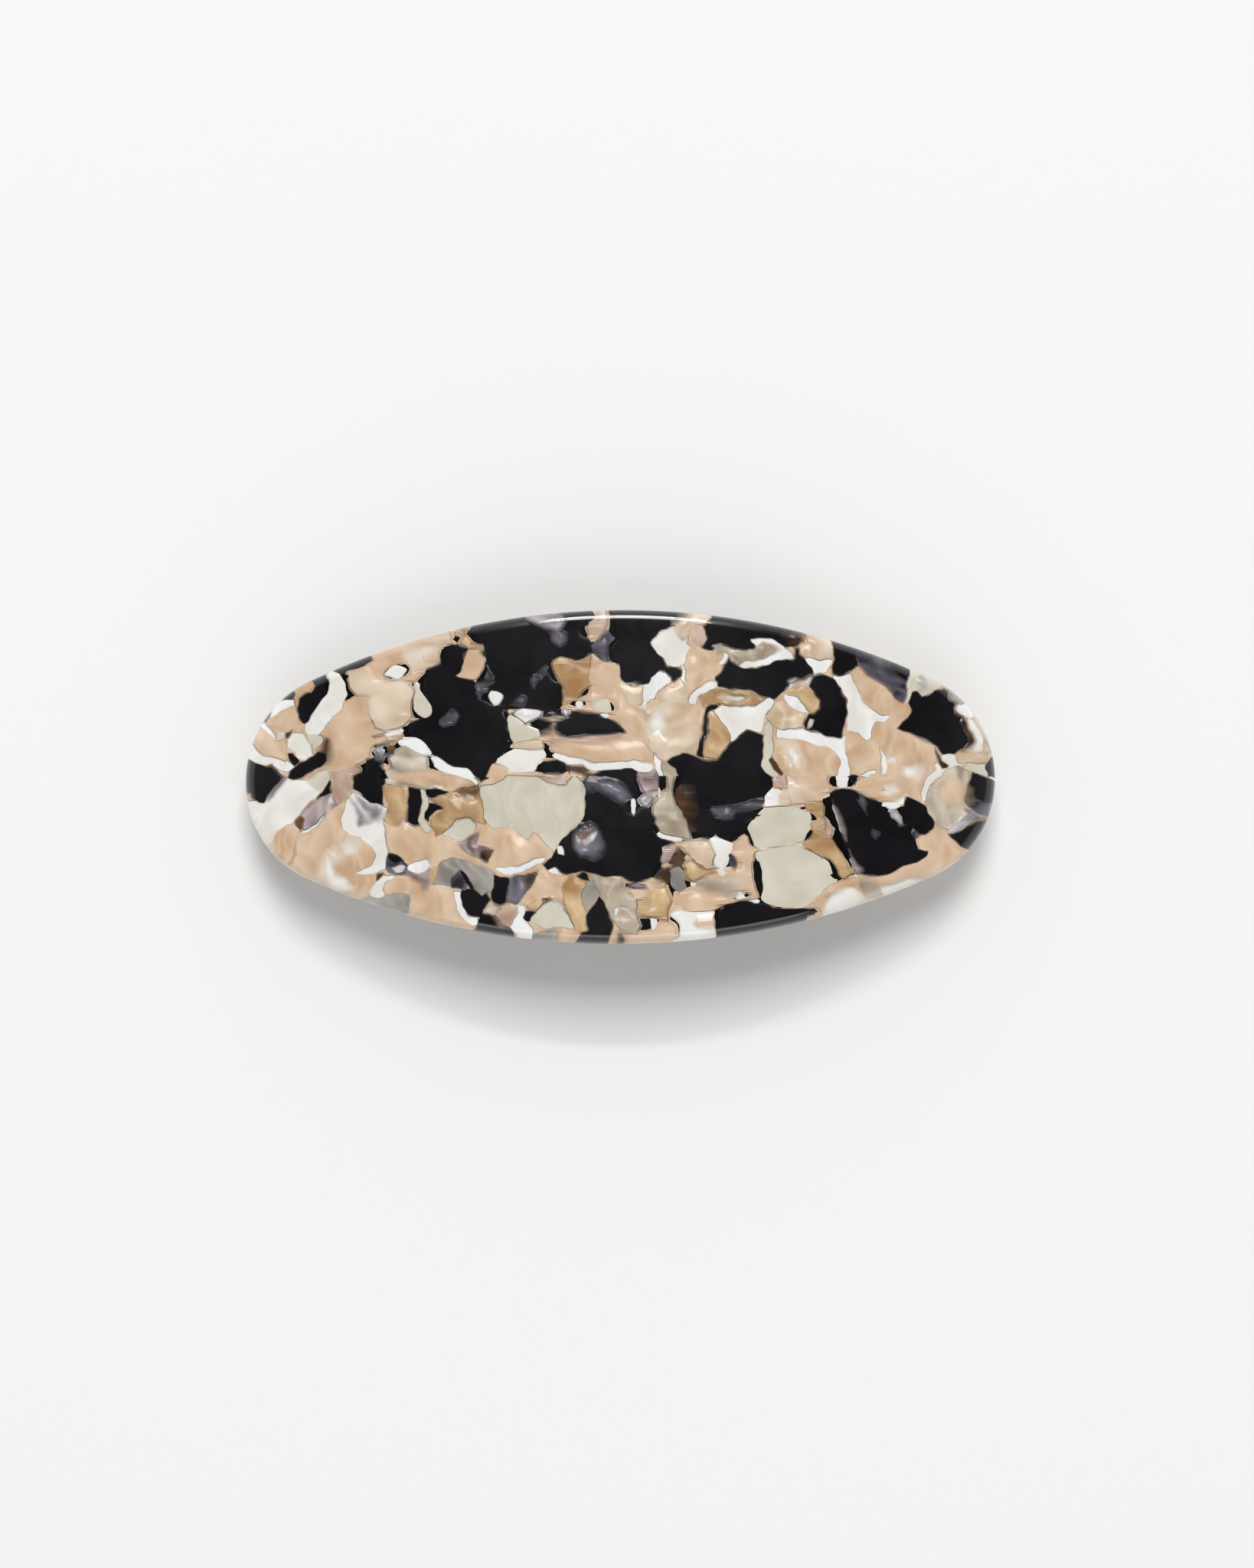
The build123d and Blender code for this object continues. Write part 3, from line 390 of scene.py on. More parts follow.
# --- the middle, above the centre line
chip("sand", (-.4, 11.6), (1.4, 11.3), (2.8, 10.6), (3.4, 8.6), (5.6, 11), (8.2, 11.8), (8.8, 9),
     (10, 7), (9.8, 4), (8.6, 2.9), (6, 1.9), (4.2, 2.9), (3.2, 5), (2.6, 8), (1, 9.6), blur=.5)
chip("tan", (-8.8, 4), (-7, 4.3), (-3, 4.3), (.8, 4.6), (2.6, 4.6), (4.2, 2.9), (4.3, 2),
     (1.5, 1.9), (0, 1.8), (-2, 1.5), (-3.5, 1.7), (-5, 2.2), (-6.6, 2.5), (-8.8, 3.1), blur=.2)
chip("white", (-8.8, 3.2), (-6.6, 2.6), (-5, 2.3), (-3.6, 1.8), (-2, 1.6), (0, 1.9), (2, 1.9),
     (4.1, 1.6), (4.4, .8), (2.9, .4), (2.1, .6), (1.5, 1), (-.5, .9), (-2.5, .7), (-3.8, 1),
     (-5.3, 1.5), (-6.8, 1.5), (-7.6, 1.9), (-8.6, 2.4))
chip("mauve", (2.1, .3), (2.9, .4), (4.1, .7), (4.5, .9), (4.9, -.8), (4.7, -2.5), (4.2, -3.6),
     (4.2, -2.4), (3.4, -2.1), (2.6, -2.3), (2.3, -1))
# painted glints in a dark pearl cluster
chip("silver_glint", (2.7, -2.4), (4, -2.1), (4.3, -2.8), (4.2, -3.9), (2.8, -3.8), (2.3, -3), blur=.2)
chip("putty", (5.2, 1.8), (5.9, 1.7), (6.8, 1.2), (7.3, 0), (7.2, -.9), (6.9, -1.8), (7.3, -3),
     (8, -4.5), (8.6, -6), (9.2, -7.2), (9.8, -7.9), (8.4, -8.2), (6.3, -7.6), (4.8, -7.1),
     (4.3, -6.4), (4.7, -5.5), (4.4, -4.2), (4.3, -3.3), (4.9, -2), (5.3, -.8))
chip("white", (4.2, 2.9), (4.8, 2.2), (5.2, 1.8), (5.2, 1), (5.4, 0), (5.2, -1), (4.9, -2.3),
     (4.5, -3.4), (4.1, -3.3), (4.7, -2.2), (4.9, -.8), (4.6, .8), (4.3, 2))
chip("white", (4.2, -6.5), (4.6, -6.8), (5.8, -7.4), (7.2, -7.7), (8.3, -8), (8.4, -8.2),
     (7.4, -8.3), (5.8, -8), (4.8, -7.6), (4.3, -7.2))
chip("black", (5.8, 1.8), (6.8, 2.5), (7.8, 2.8), (9.2, 2.6), (10.1, 2.2), (12.2, 1.9), (13.9, 4),
     (16, 5.8), (17.6, 5.4), (18.2, 5), (18.2, 3), (17.9, 1), (18.7, .2), (19.4, -.6), (19.2, -1.6),
     (18.4, -2.2), (18.2, -3.4), (17.6, -4.8), (16.2, -6.6), (15, -7.7), (13.9, -8.4), (12.3, -7.7),
     (11, -8), (9.8, -7.7), (9, -7.2), (8, -4.6), (7.1, -2.3), (7, -1.2), (7.4, 0), (7, 1),
     blur=.08)
chip("brown", (7.3, -1.6), (8.4, -2), (9.6, -4.6), (9.6, -7.4), (9, -7.2), (8, -4.6), (7.2, -2.5),
     blur=.5)
chip("smoke", (11.3, -4.2), (12.6, -3.9), (14.8, -3.8), (14.2, -4.9), (13, -5.8), (12, -6.1),
     (11.9, -5), blur=.2)
# a painted glint on the smoky chip
chip("silver_glint", (13.2, -3.9), (14.8, -3.8), (14, -4.9), (13.5, -5), blur=.15)
chip("smoke", (14.6, -4.6), (16, -3.4), (18, -2.9), (18, -3.9), (16.4, -4.2), blur=.25)

# --- below the centre line, right of the middle
# painted highlight on a lump of the sand, not a chip
chip("ivory", (3.9, 5.3), (4, 7.3), (4.9, 8), (5.6, 6.9), (5.1, 5.2), blur=.8)
chip("sand", (7, -8.6), (8.4, -8.2), (9.5, -8), (10.8, -8.1), (11.8, -7.6), (12.9, -7.9),
     (13.2, -11.2), (13.2, -12.2), (12.4, -11.6), (10.5, -11.7), (9.6, -10.9), (8.5, -10.1),
     (7.2, -9.2))
chip("ivory", (11.5, -7.6), (12.3, -7.6), (13.7, -8.4), (14.2, -8.3), (14.1, -9.2), (13.6, -10.5),
     (13.2, -11.4), (13.3, -12.9), (12.7, -12.8), (12.5, -11.6), (11.2, -11.5), (12, -10),
     (11.4, -9), blur=.12)
chip("smoke", (14.3, -10), (14.7, -11.3), (14.3, -12.1), (13.9, -12.9), (13.3, -12.9),
     (13.3, -11.6), (13.7, -10.6), blur=.2)
chip("black", (12.4, -12), (12.7, -12.8), (12.5, -13.1))
chip("mauve", (5.5, -9), (6.9, -8.9), (7.1, -9.1), (6.6, -10.4), (6.5, -11.3), (5.5, -11.3),
     (5.1, -10.4), blur=.15)
chip("grey", (6.6, -11.4), (7.9, -11), (8.2, -12.6), (7.9, -14.7), (6.4, -14.4), (6.3, -13),
     blur=.15)
chip("honey", (8.1, -10.2), (9.2, -10.9), (10.2, -11.8), (12.2, -11.7), (12.5, -12.4), (11, -12.6),
     (10.3, -12.2), (9.2, -13.3), (8.1, -14.5), (7.9, -12.5), blur=.12)
chip("brown", (7, -9), (8.3, -10.2), (8, -11), (7.1, -11.5), (6.5, -11.1), (6.7, -10), blur=.2)
chip("honey", (3.5, -14.3), (4.8, -14.5), (6, -13.5), (6.4, -14.5), (6.4, -15.8), (5.8, -17.5),
     (5.9, -18.4), (5, -18.4), (3, -18.1), (1.8, -17.2), (3.5, -16.5), (3.3, -15.1), blur=.25)
chip("brown", (3.8, -13.4), (5, -11.9), (6.3, -11.3), (6.5, -11.8), (6, -13.2), (4.9, -14.3),
     (4.2, -14), blur=.2)
chip("white", (10.3, -12.1), (10.1, -13.6), (9.4, -14), (8.8, -13.9), (9.5, -12.9))
chip("ivory", (6.2, -14.4), (7.3, -14.5), (7.3, -16.2), (8, -17.1), (10, -17.1), (12.6, -17),
     (12.5, -17.8), (12.3, -18.6), (12.5, -19.4), (12.4, -21), (8.9, -21.2), (5.8, -21.4),
     (6.9, -19.8), (6.9, -18.4), (6.2, -17.6), (6.3, -16), (6.5, -15))
chip("tan", (8.9, -18.9), (10, -17.8), (12, -17.7), (12.3, -18.2), (11.8, -19.3), (10, -19.3),
     blur=.45)
chip("white", (3.6, -17.9), (4.3, -17.9), (4.6, -18.6), (4.2, -19.5), (3.8, -19.3), (3.7, -18.5))
chip("black", (12.5, -17.8), (12.9, -16.6), (13.8, -15.9), (15, -15.8), (16.5, -16), (18, -15.8),
     (19.4, -16.6), (23.6, -16.7), (23.9, -16.2), (23.8, -17.2), (23.5, -19), (19, -20.3),
     (15, -21), (12.6, -21.2), (12.5, -19.2))
chip("white", (14.3, -15.4), (14.7, -14.6), (16, -14.9), (17.2, -15.6), (18.1, -15.7),
     (17.9, -15.9), (16.2, -16), (15, -15.6), (14.3, -15.6))
chip("putty", (14.2, -12.6), (16.4, -13.2), (15.4, -14.4), (12.6, -15), (9.6, -14.2), (10.8, -12.9),
     (12.8, -13), blur=.6)

# --- the pale chips right of the middle
chip("cream", (17.9, -4), (19.3, -4), (20.3, -3.7), (21.2, -3.7), (22.4, -3.9), (23.2, -4.3),
     (24.1, -4.4), (24.2, -5.5), (24, -7), (24, -8.1), (22.8, -8.3), (21, -8.6), (19, -9),
     (17.2, -9.4), (16.6, -8), (16, -6.6), (17, -5.4))
chip("cream", (17.2, -9.5), (19, -9.1), (21, -8.7), (22.9, -8.5), (23.3, -9.2), (24.4, -9.8),
     (25.3, -10.3), (26, -10.9), (26.7, -12), (26.7, -12.6), (27.6, -13), (28, -13.1), (27, -13.6),
     (26, -14.2), (24.8, -15.2), (24.4, -16), (23.8, -16.4), (22, -16.6), (20, -16.6),
     (18.9, -16.2), (18, -15.5), (17.9, -13.6), (17.4, -11.5))
chip("white", (16.3, -8), (16.7, -8.4), (17.1, -11), (17.6, -13), (18.2, -14.3), (17.9, -14.5),
     (17.3, -13.6), (16.8, -11.6), (16.5, -9.6), blur=.1)
chip("honey", (22.8, -3.9), (23.8, -3.3), (25.4, -3.2), (26.3, -3), (26.2, -4.4), (26, -6),
     (26.2, -7.8), (27, -8), (27.6, -9.6), (28.6, -11.3), (29.4, -12), (28.4, -12.1), (28.2, -13.1),
     (27.4, -12.9), (26.7, -12.2), (26.5, -11.2), (25.8, -10.5), (24.6, -9.8), (23.4, -9.2),
     (23, -8.4), (24, -8.2), (24.3, -6.6), (24.2, -4.8), (23.6, -4.2))
chip("rose", (25.9, -4), (26.6, -5.8), (27, -7.8), (26.2, -7.8), (25.8, -6.2), blur=.2)
chip("black", (26.5, -2.4), (27, -1.8), (28, -1.6), (28.8, -1), (29.3, .2), (30.1, .1), (29.8, -1),
     (29.3, -1.9), (30.8, -2.2), (32.2, -2.9), (33.3, -3.9), (34, -4.8), (35, -5.2), (36, -6.4),
     (37.2, -7.4), (37.6, -8), (37.7, -8.8), (38.2, -9.4), (39, -9.5), (38.8, -10.2), (37.2, -11.1),
     (35.5, -11.6), (34.2, -12.3), (33, -12.8), (31.6, -12.6), (30.2, -12.4), (28.9, -10.6),
     (28, -8.6), (27.4, -6), (26.8, -4.2), (26.3, -3.1), blur=.08)
chip("mauve", (26.3, -2.7), (27.1, -4), (27.9, -6), (28.5, -8.5), (29.4, -10.7), (30.8, -12.4),
     (30, -12.4), (28.8, -10.7), (27.9, -8.5), (27.3, -6), (26.7, -4.2), (26.2, -3.3), blur=.25)
chip("black", (28.3, -12.1), (29, -11.9), (30.2, -12.4), (29, -12.7), (28.1, -13.2), (28.4, -12.6),
     blur=.12)
chip("ivory", (18.2, -2.3), (19.3, -1.9), (19.5, -1.4), (20.6, -1.5), (21, -1.9), (20.8, -2.7),
     (20.2, -3.6), (19, -3.9), (18, -3.8), (18.2, -3))
chip("rose", (19.4, -.6), (20.2, .3), (21, .4), (21.3, -.7), (21.1, -1.6), (19.6, -1.5), blur=.15)
chip("cream", (18.2, 6.3), (19, 7), (19.2, 6.2), (19.3, 5), (19.5, 3.5), (19, 2.4), (19.2, 1.6),
     (20, .6), (20.1, 0), (19.3, -.3), (18.3, .5), (17.9, 1.2), (18, 2.6), (18.2, 4), blur=.1)
chip("brown", (18.8, 2), (19.2, 2.4), (20.1, 1.3), (20.6, .3), (20.2, 0), (19.3, 1), blur=.08)
chip("white", (19.7, 6), (21.5, 6), (23.4, 5.9), (25, 5.4), (26.2, 5), (28, 4.9), (28.6, 5.2),
     (28.7, 3), (28.9, 1.5), (29.2, .3), (29, -.4), (28.5, -1.3), (27.8, -1.6), (26.9, -1.8),
     (27, -1), (27.4, .2), (27.9, 1.3), (27.6, 2.5), (26.8, 3.4), (25, 3.9), (22, 4.7), (19.8, 4.8))
chip("sand", (20.2, 3), (21.4, 2.2), (22, .6), (22.6, -1), (24.4, -2.2), (26.6, -2), (24.6, -2.8),
     (22.4, -3.5), (21.2, -3), (21, -2), (21.3, 0), (20.6, 1.6), blur=.5)

# --- the upper edge, right of the middle
chip("ivory", (3.9, 17), (5, 18), (6.4, 18.7), (7.8, 19.4), (9.4, 20.3), (8.8, 17.9), (8.4, 16.8),
     (8.9, 16.4), (8.6, 15.5), (8.2, 14.3), (7.8, 14), (6, 13.9), (5.6, 14.6), (4.7, 15.7))
chip("sand", (7, 19.2), (9.2, 20.6), (11.8, 21), (11.4, 19.4), (9.6, 19.2), (8.6, 17.6),
     (7.8, 17.2), blur=.3)
chip("white", (7.8, 14.1), (8.1, 13.9), (8.4, 12), (8.4, 11.5), (7.8, 12.3), (7.9, 13))
chip("rose", (9.2, 17.4), (10, 19.2), (10.8, 19.3), (10.9, 18), (11.3, 16.5), (10.3, 16.3),
     (9.1, 16.8), blur=.12)
chip("white", (2.8, 10.5), (2.9, 11.4), (3.8, 11.9), (4.1, 12.5), (5, 13.1), (5.9, 13), (6.5, 12.3),
     (6.4, 11.8), (5.5, 11.2), (4.7, 10.6), (4.4, 9.9), (3.6, 9.4), (3.3, 8.7), (2.5, 8.6),
     (2.9, 9.2))
chip("black", (10.7, 19), (11.4, 19.4), (12.1, 20.9), (15, 20.7), (20, 19.7), (24, 18.6),
     (23.4, 17.2), (22.3, 16.4), (21, 16.4), (20.5, 16.7), (18.5, 17.3), (16.7, 17.3), (16.6, 17),
     (17.1, 16.8), (17.1, 15.9), (15.5, 15.8), (14, 16.2), (12, 16.1), (11.9, 15.8), (10.4, 16.2),
     (11, 17.3), blur=.08)
chip("brown", (21.4, 19.2), (23.9, 18.6), (23.6, 17.2), (22.6, 16.6), (21.6, 16.6), blur=.4)
chip("white", (16.6, 17.4), (18, 17.4), (19.5, 17.2), (20.7, 16.5), (21.6, 15.9), (22.2, 14.8),
     (19.9, 14.7), (19.6, 14.2), (18.8, 14), (17, 13.9), (15.6, 13.6), (14.9, 13.9), (16, 15.8),
     (17.2, 16), (17.2, 16.7), (16.7, 16.9))
chip("putty", (12.1, 16.1), (14, 16.1), (16, 15.8), (17.2, 15.9), (17.4, 16.5), (18, 17),
     (19.5, 16.6), (20.4, 16), (19, 15.2), (17.3, 14.7), (15.6, 14.4), (14.9, 13.9), (14, 14.9),
     (13.4, 15.4), (12.4, 15.3), blur=.2)
chip("white", (12.4, 14), (13, 14.9), (13.3, 15.6), (13.8, 15.2), (13.7, 14.5), (13.2, 14.1),
     (12.6, 13.9))
chip("black", (13.7, 15), (15, 13.8), (15.7, 13.6), (18.8, 14), (19.9, 14.7), (22.2, 14.8),
     (22.1, 16.2), (22.7, 16.3), (23, 15.4), (23.8, 14.8), (24.6, 13.2), (24.6, 12.7), (23.4, 12.2),
     (21.8, 11.6), (20.8, 10.9), (20, 9.9), (19.4, 9.5), (18.4, 9.9), (16.5, 10.7), (14, 11),
     (12.4, 11.2), (12, 12.2), (12.9, 13.2), (13.1, 13.9), blur=.08)
chip("white", (8.8, 9), (8.9, 10.2), (9.7, 11), (10.6, 11.7), (11.6, 12.1), (12.2, 11.7), (12, 11),
     (11, 10.6), (10, 10.1), (9.7, 9.4), (9.6, 9))
chip("honey", (10, 9.9), (11, 10.6), (12, 11), (14, 10.9), (16, 10.7), (17.7, 10), (18.4, 9.7),
     (17.5, 9.2), (16, 8.8), (14, 8.9), (12.5, 8.9), (11, 9), (10.5, 8.6), (10.3, 9.2), blur=.12)
chip("cream", (12.6, 10), (14.4, 10.3), (16.2, 9.9), (15.6, 9.5), (13.6, 9.6), blur=.25)
chip("black", (10.9, 8.7), (11.5, 9), (12.6, 8.9), (11.8, 8.3), (11.1, 7.9), (11.2, 6.9), (11, 5.5),
     (10.5, 3.5), (10.4, 2.4), (9.7, 2.4), (10, 4), (10.3, 5.5), (10.6, 7.2), (10.7, 8.3))
chip("honey", (11.2, 8.2), (11.9, 8.2), (12.7, 7.2), (13.6, 6.1), (14.2, 4.8), (14, 4.2),
     (13.2, 3.4), (12.2, 2), (11.4, 2.2), (10.4, 2.6), (10.8, 4.2), (11.2, 6))
chip("ivory", (11.8, 8.2), (12.6, 8.7), (13.4, 8.9), (15, 8.8), (16.4, 8.8), (17.6, 9.1),
     (18.5, 9.8), (19, 9.8), (19.6, 9.4), (19.2, 8.8), (18.6, 8), (18.3, 7), (18, 6), (17.8, 5.6),
     (16, 5.8), (15.2, 5.3), (14, 4.2), (13.9, 4.9), (13.6, 5.9), (12.8, 7))

# --- between the black chips, right of the middle
chip("sand", (19.6, 9.2), (20.5, 9.6), (21.3, 9), (22.4, 8.2), (23.5, 8), (23.2, 6.6), (23, 6),
     (20, 6), (19.2, 6.5), (18.6, 7.2), (18.9, 8.2))
chip("mauve", (21.8, 11.6), (23.4, 12.3), (24.8, 12.9), (25.4, 12.2), (24, 11.4), (22.6, 11.2),
     blur=.3)
chip("black", (24.7, 12.6), (26.2, 12.8), (27.2, 12.4), (27.7, 11.6), (28.1, 11.2), (28.1, 10.8),
     (28.8, 10), (28.9, 8.4), (28.5, 6.5), (28, 4.9), (26, 5), (24.8, 5.6), (23.4, 5.9),
     (23.4, 6.8), (23.8, 7.9), (24.6, 8), (25.2, 8.6), (25.2, 9.6), (24.6, 10.6), (24, 11.4),
     blur=.1)
chip("honey", (21.1, 10.8), (22, 11.3), (23, 11.8), (23.8, 11.4), (24.6, 10.6), (25.3, 9.6),
     (25.2, 8.5), (24.4, 7.9), (23.5, 8.6), (22.6, 9.6), (21.4, 10.4), blur=.18)
chip("white", (20.9, 10.6), (21.6, 10.3), (22.5, 9.9), (23.3, 9), (23.9, 8.2), (23.5, 8),
     (22.3, 8.3), (21.4, 9), (20.9, 9.8), blur=.12)
chip("white", (21.3, 11), (21.6, 11.6), (22.3, 11.7), (21.8, 11.2), blur=.1)
chip("cream", (23.7, 6.1), (24.1, 7.2), (24.7, 7.1), (24.3, 6.3), blur=.15)
chip("sand", (23.8, 18.8), (25, 18.4), (26.9, 17.9), (27.2, 16.2), (27.1, 15.4), (26, 14.4),
     (24.6, 14.8), (23.4, 15.2), (22.9, 15.5), (23, 16.3), (23.8, 17), blur=.3)
chip("white", (23.4, 15), (24.2, 15), (25.4, 14.6), (26.9, 14.9), (26.8, 14.2), (26.2, 13.2),
     (24.8, 12.9), (24.4, 13.6), (23.8, 14.4))
chip("black", (27, 17.8), (29.9, 17), (30.2, 15), (30.2, 14), (29.2, 13.3), (28.6, 12.7),
     (27.9, 12.6), (27, 13), (27, 14.2), (27.2, 15.4), blur=.1)
chip("smoke", (30.1, 16.9), (33, 15.9), (35, 15), (37.4, 13.9), (36.6, 12), (36.4, 11.2),
     (36.5, 10), (36, 9.2), (35, 10), (34, 11.2), (32.6, 12), (31.4, 12.9), (30.3, 14.1), blur=.1)
chip("black", (33.4, 15.8), (37.6, 14), (37, 12.8), (36.5, 12), (35, 12.6), (34, 13.4), blur=.4)
chip("ivory", (27, 12.9), (27.9, 12.6), (28.8, 12.8), (29.3, 13.1), (29.8, 12), (30.4, 10.5),
     (31, 9.4), (32, 8.5), (33.5, 7.8), (34.5, 7.9), (33.8, 7), (32.5, 6.9), (32, 6.2), (31.8, 4.9),
     (31.2, 4.6), (30.6, 5), (30.2, 5.5), (29.7, 5.5), (29.2, 5.8), (28.8, 5.6), (28.8, 7.5),
     (28.9, 9.8), (28.1, 10.8), (28, 11.3), (27.5, 11.8))
chip("tan", (29.4, 13.2), (30.3, 13.8), (31.4, 12.9), (32.8, 11.8), (34, 11), (35, 9.8),
     (34.4, 8.4), (33.4, 8), (32, 8.6), (31.2, 9.3), (30.5, 10.5), (29.9, 12), blur=.3)
chip("tan", (28.4, 5.4), (30, 5.4), (31, 4.6), (32.3, 4.6), (33, 3), (33.1, 1.2), (32, .6),
     (30.4, .3), (29.2, 1.2), (28.9, 3), blur=.15)
chip("ivory", (30.1, .1), (31.2, .5), (32.4, .9), (32.5, .4), (31.5, 0), (30.2, -.1))
chip("ivory", (32.9, 4.2), (33.4, 3), (33.9, 2), (34, 1), (33.5, .2), (33.1, .3), (33.2, 1.6),
     (33, 3), blur=.15)

# --- right end
chip("cream", (37.3, 14.2), (38.6, 13.4), (40, 12.8), (41.6, 11.8), (40.2, 11.2), (39.5, 10.6),
     (38.5, 10.1), (38, 10.8), (37.7, 11.1), (37.1, 10.9), (36.7, 9.5), (36.2, 9.3), (36.5, 10.4),
     (36.6, 12), blur=.08)
# a painted glint in the cream chip
chip("silver_glint", (38.1, 11.2), (38.4, 12.9), (38.9, 12.7), (38.7, 11.4), blur=.2)
chip("putty", (45, 8), (46.6, 6.6), (47.6, 4.4), (47.6, 3.2), (46.4, 3.1), (46.5, 4.6), (46.1, 6),
     (45.4, 7.1), blur=.2)
chip("ivory", (43.9, 7.2), (44.8, 7.4), (45.4, 7), (46, 6), (46.4, 4.8), (46.2, 3.6), (45.4, 3.2),
     (44.5, 3.5), (45.1, 4.6), (44.8, 5.6), (44.2, 6.6), blur=.2)
chip("white", (42.9, 9), (43.9, 9.4), (45, 9.2), (45.4, 7.6), (44.2, 7.6), (43.1, 8.2))
chip("brown", (42.6, 8.6), (43.9, 7.6), (44.7, 6.2), (45.4, 4.6), (44.9, 3.6), (43.4, 3.2),
     (42.6, 4), (42.4, 7), blur=.3)
chip("black", (36.7, 9.4), (37.2, 10.8), (37.8, 11.1), (38.4, 10.3), (39.3, 10.2), (40.2, 11),
     (41.4, 11.3), (42, 10.8), (42, 10.1), (43, 9.5), (43.4, 9.6), (42.9, 9), (42.8, 8.2),
     (43.9, 7.7), (43.4, 7.2), (44, 6), (44.4, 4.5), (43.8, 3.8), (43.2, 3.3), (42.6, 2.9),
     (41, 2.9), (40.4, 3.8), (39, 4.4), (37.8, 5.1), (36.6, 5.6), (35.2, 6), (36, 7), (37, 8.2),
     (37, 9), blur=.12)
chip("grey", (42, 11.6), (43.3, 10.8), (44.3, 9.9), (43.7, 9.2), (42.5, 9.9), (42, 10.2), blur=.1)
chip("ivory", (40.6, 2.9), (42.8, 2.8), (42.8, 1.9), (43.8, 1.9), (43, 1.4), (42, 1), (41, .2),
     (40, -.3), (39.5, -1), (39.2, -2), (38.8, -3), (38.3, -3.4), (38.4, -1.4), (39.2, .2),
     (40.2, 1), (40.1, 1.7), (40.8, 2.2))
chip("brown", (40, 3.8), (40.5, 3), (41, 2.1), (41.9, 1.4), (41.6, 1), (41, 1), (40.6, 1.8),
     (40.2, 2.5), blur=.1)
chip("sand", (42.9, 3), (43.8, 3.1), (45, 3), (46.8, 3), (47, 2.8), (46.6, 2), (45.8, 1.7),
     (44, 1.9), (43, 1.8), blur=.1)
chip("cream", (44.3, 1.8), (45.8, 1.7), (46.6, 1.9), (46.9, .9), (47.6, .1), (46.8, -.1),
     (45.2, .5), (44.6, .8), (43.6, 1.2), blur=.08)
chip("black", (46.8, 1.8), (47.5, 2.6), (48.6, 2), (48.6, -.4), (47.2, 0), (46.7, 1))
chip("ivory", (46.8, .1), (47.3, .2), (48.6, -.5), (48.6, -.9), (47.4, -.2))
chip("black", (45, .5), (46.4, .2), (48.6, -.9), (48.4, -5), (47, -5), (46, -4.9), (45, -4.3),
     (44, -3.6), (44.1, -2), (44.5, -.5), blur=.1)
chip("smoke", (44.1, -3), (45.4, -3.1), (48, -3.3), (47.4, -4.9), (46, -4.9), (45, -4.3),
     (44, -3.6), blur=.15)
chip("putty", (41.9, 1), (43, 1.5), (44.2, .9), (44.6, .4), (44.2, -1), (44, -3.4), (45, -4.4),
     (44, -5), (43, -6), (41.9, -6.6), (40.6, -6.5), (39.8, -5.5), (38.8, -4.2), (38.9, -2.6),
     (39.6, -1.2), (40.8, .1))
chip("tan", (40.6, -1.6), (41.8, -.2), (43.2, -.4), (43.8, -1.6), (43.4, -3), (42, -3.3),
     (40.8, -2.8), blur=.7)
chip("silver_glint", (43.7, -3.8), (45.2, -4.5), (47.3, -5), (46, -5.2), (44.9, -5.6), (43.6, -6.6),
     (42.9, -7.2), (41.7, -7.2), (41.5, -6.6), (42.4, -6.2), (43.2, -5.3), (44, -4.6), blur=.12)
chip("black", (41.6, -7.3), (43, -7.1), (44, -6.3), (45.5, -5.6), (47.6, -5.2), (46.8, -7.6),
     (45, -9.8), (44.3, -9.3), (43.8, -9), (42.6, -8.2), blur=.1)
chip("smoke", (30.6, -2.6), (31.9, -4), (32.6, -5.8), (32.3, -8), (31.8, -8), (32, -6),
     (31.3, -4.4), (30.3, -3), blur=.25)
chip("black", (36.2, -2.5), (37.4, -2.9), (38.6, -3.7), (39.2, -4.6), (39.9, -5.7), (39.6, -6.8),
     (38.8, -7.4), (37.6, -7.4), (36.6, -6.8), (35.8, -5.6), (35.1, -4.6), (36, -3.6))
chip("smoke", (34.2, -3.8), (35.4, -4.2), (36.6, -6), (38, -7.5), (37.2, -7.9), (35.8, -6.4),
     (34.4, -5.4), (33.9, -4.7), blur=.2)
# a painted glint along the lavender strip
chip("silver_glint", (34, -4.1), (34.9, -4.2), (35.6, -5.2), (36.8, -6.8), (37.6, -7.6), (36.5, -7),
     (35.1, -5.7), (34.1, -4.9), blur=.15)
chip("ivory", (33.1, -3.4), (34.2, -3.2), (35.4, -3), (36.2, -2.3), (36.4, -2.4), (36.1, -3.1),
     (35.1, -4), (34.2, -4.4), (33.6, -4.2), blur=.1)
# painted highlight on a lump of the ground, not a chip
chip("ivory", (36, 1.2), (37.2, 1.3), (38.3, .8), (38, .2), (36.8, 0), (35.9, .5), blur=.5)
chip("ivory", (34.2, 2.6), (35, 2.5), (34.8, 1.8), (34, 2), blur=.2)
# painted highlights on lumps of tan, this line and the next, not chips
chip("ivory", (33.6, -1.2), (34.6, -.9), (35.3, -1.7), (34.6, -2.4), (33.7, -2.1), blur=.6)
chip("ivory", (21.2, 3.6), (22, 3.9), (22.6, 2.6), (22, 1.2), (21.5, 1.6), blur=.8)
chip("grey", (30.4, -12.8), (31.9, -13), (33, -14), (33.6, -15.8), (31.8, -16), (30.7, -14.6),
     (30, -13.8), blur=.3)
chip("ivory", (27.2, -14.6), (28.8, -14.2), (29.8, -14.6), (30.7, -15.3), (31.4, -16.4),
     (29.5, -17.2), (27, -18), (25.5, -18.2), (25.8, -16.4), (26.2, -15.3), blur=.4)
chip("ivory", (33, -14.6), (35.4, -13.3), (37.6, -12.9), (39, -13.4), (36, -14.6), (34, -15.4),
     blur=.35)
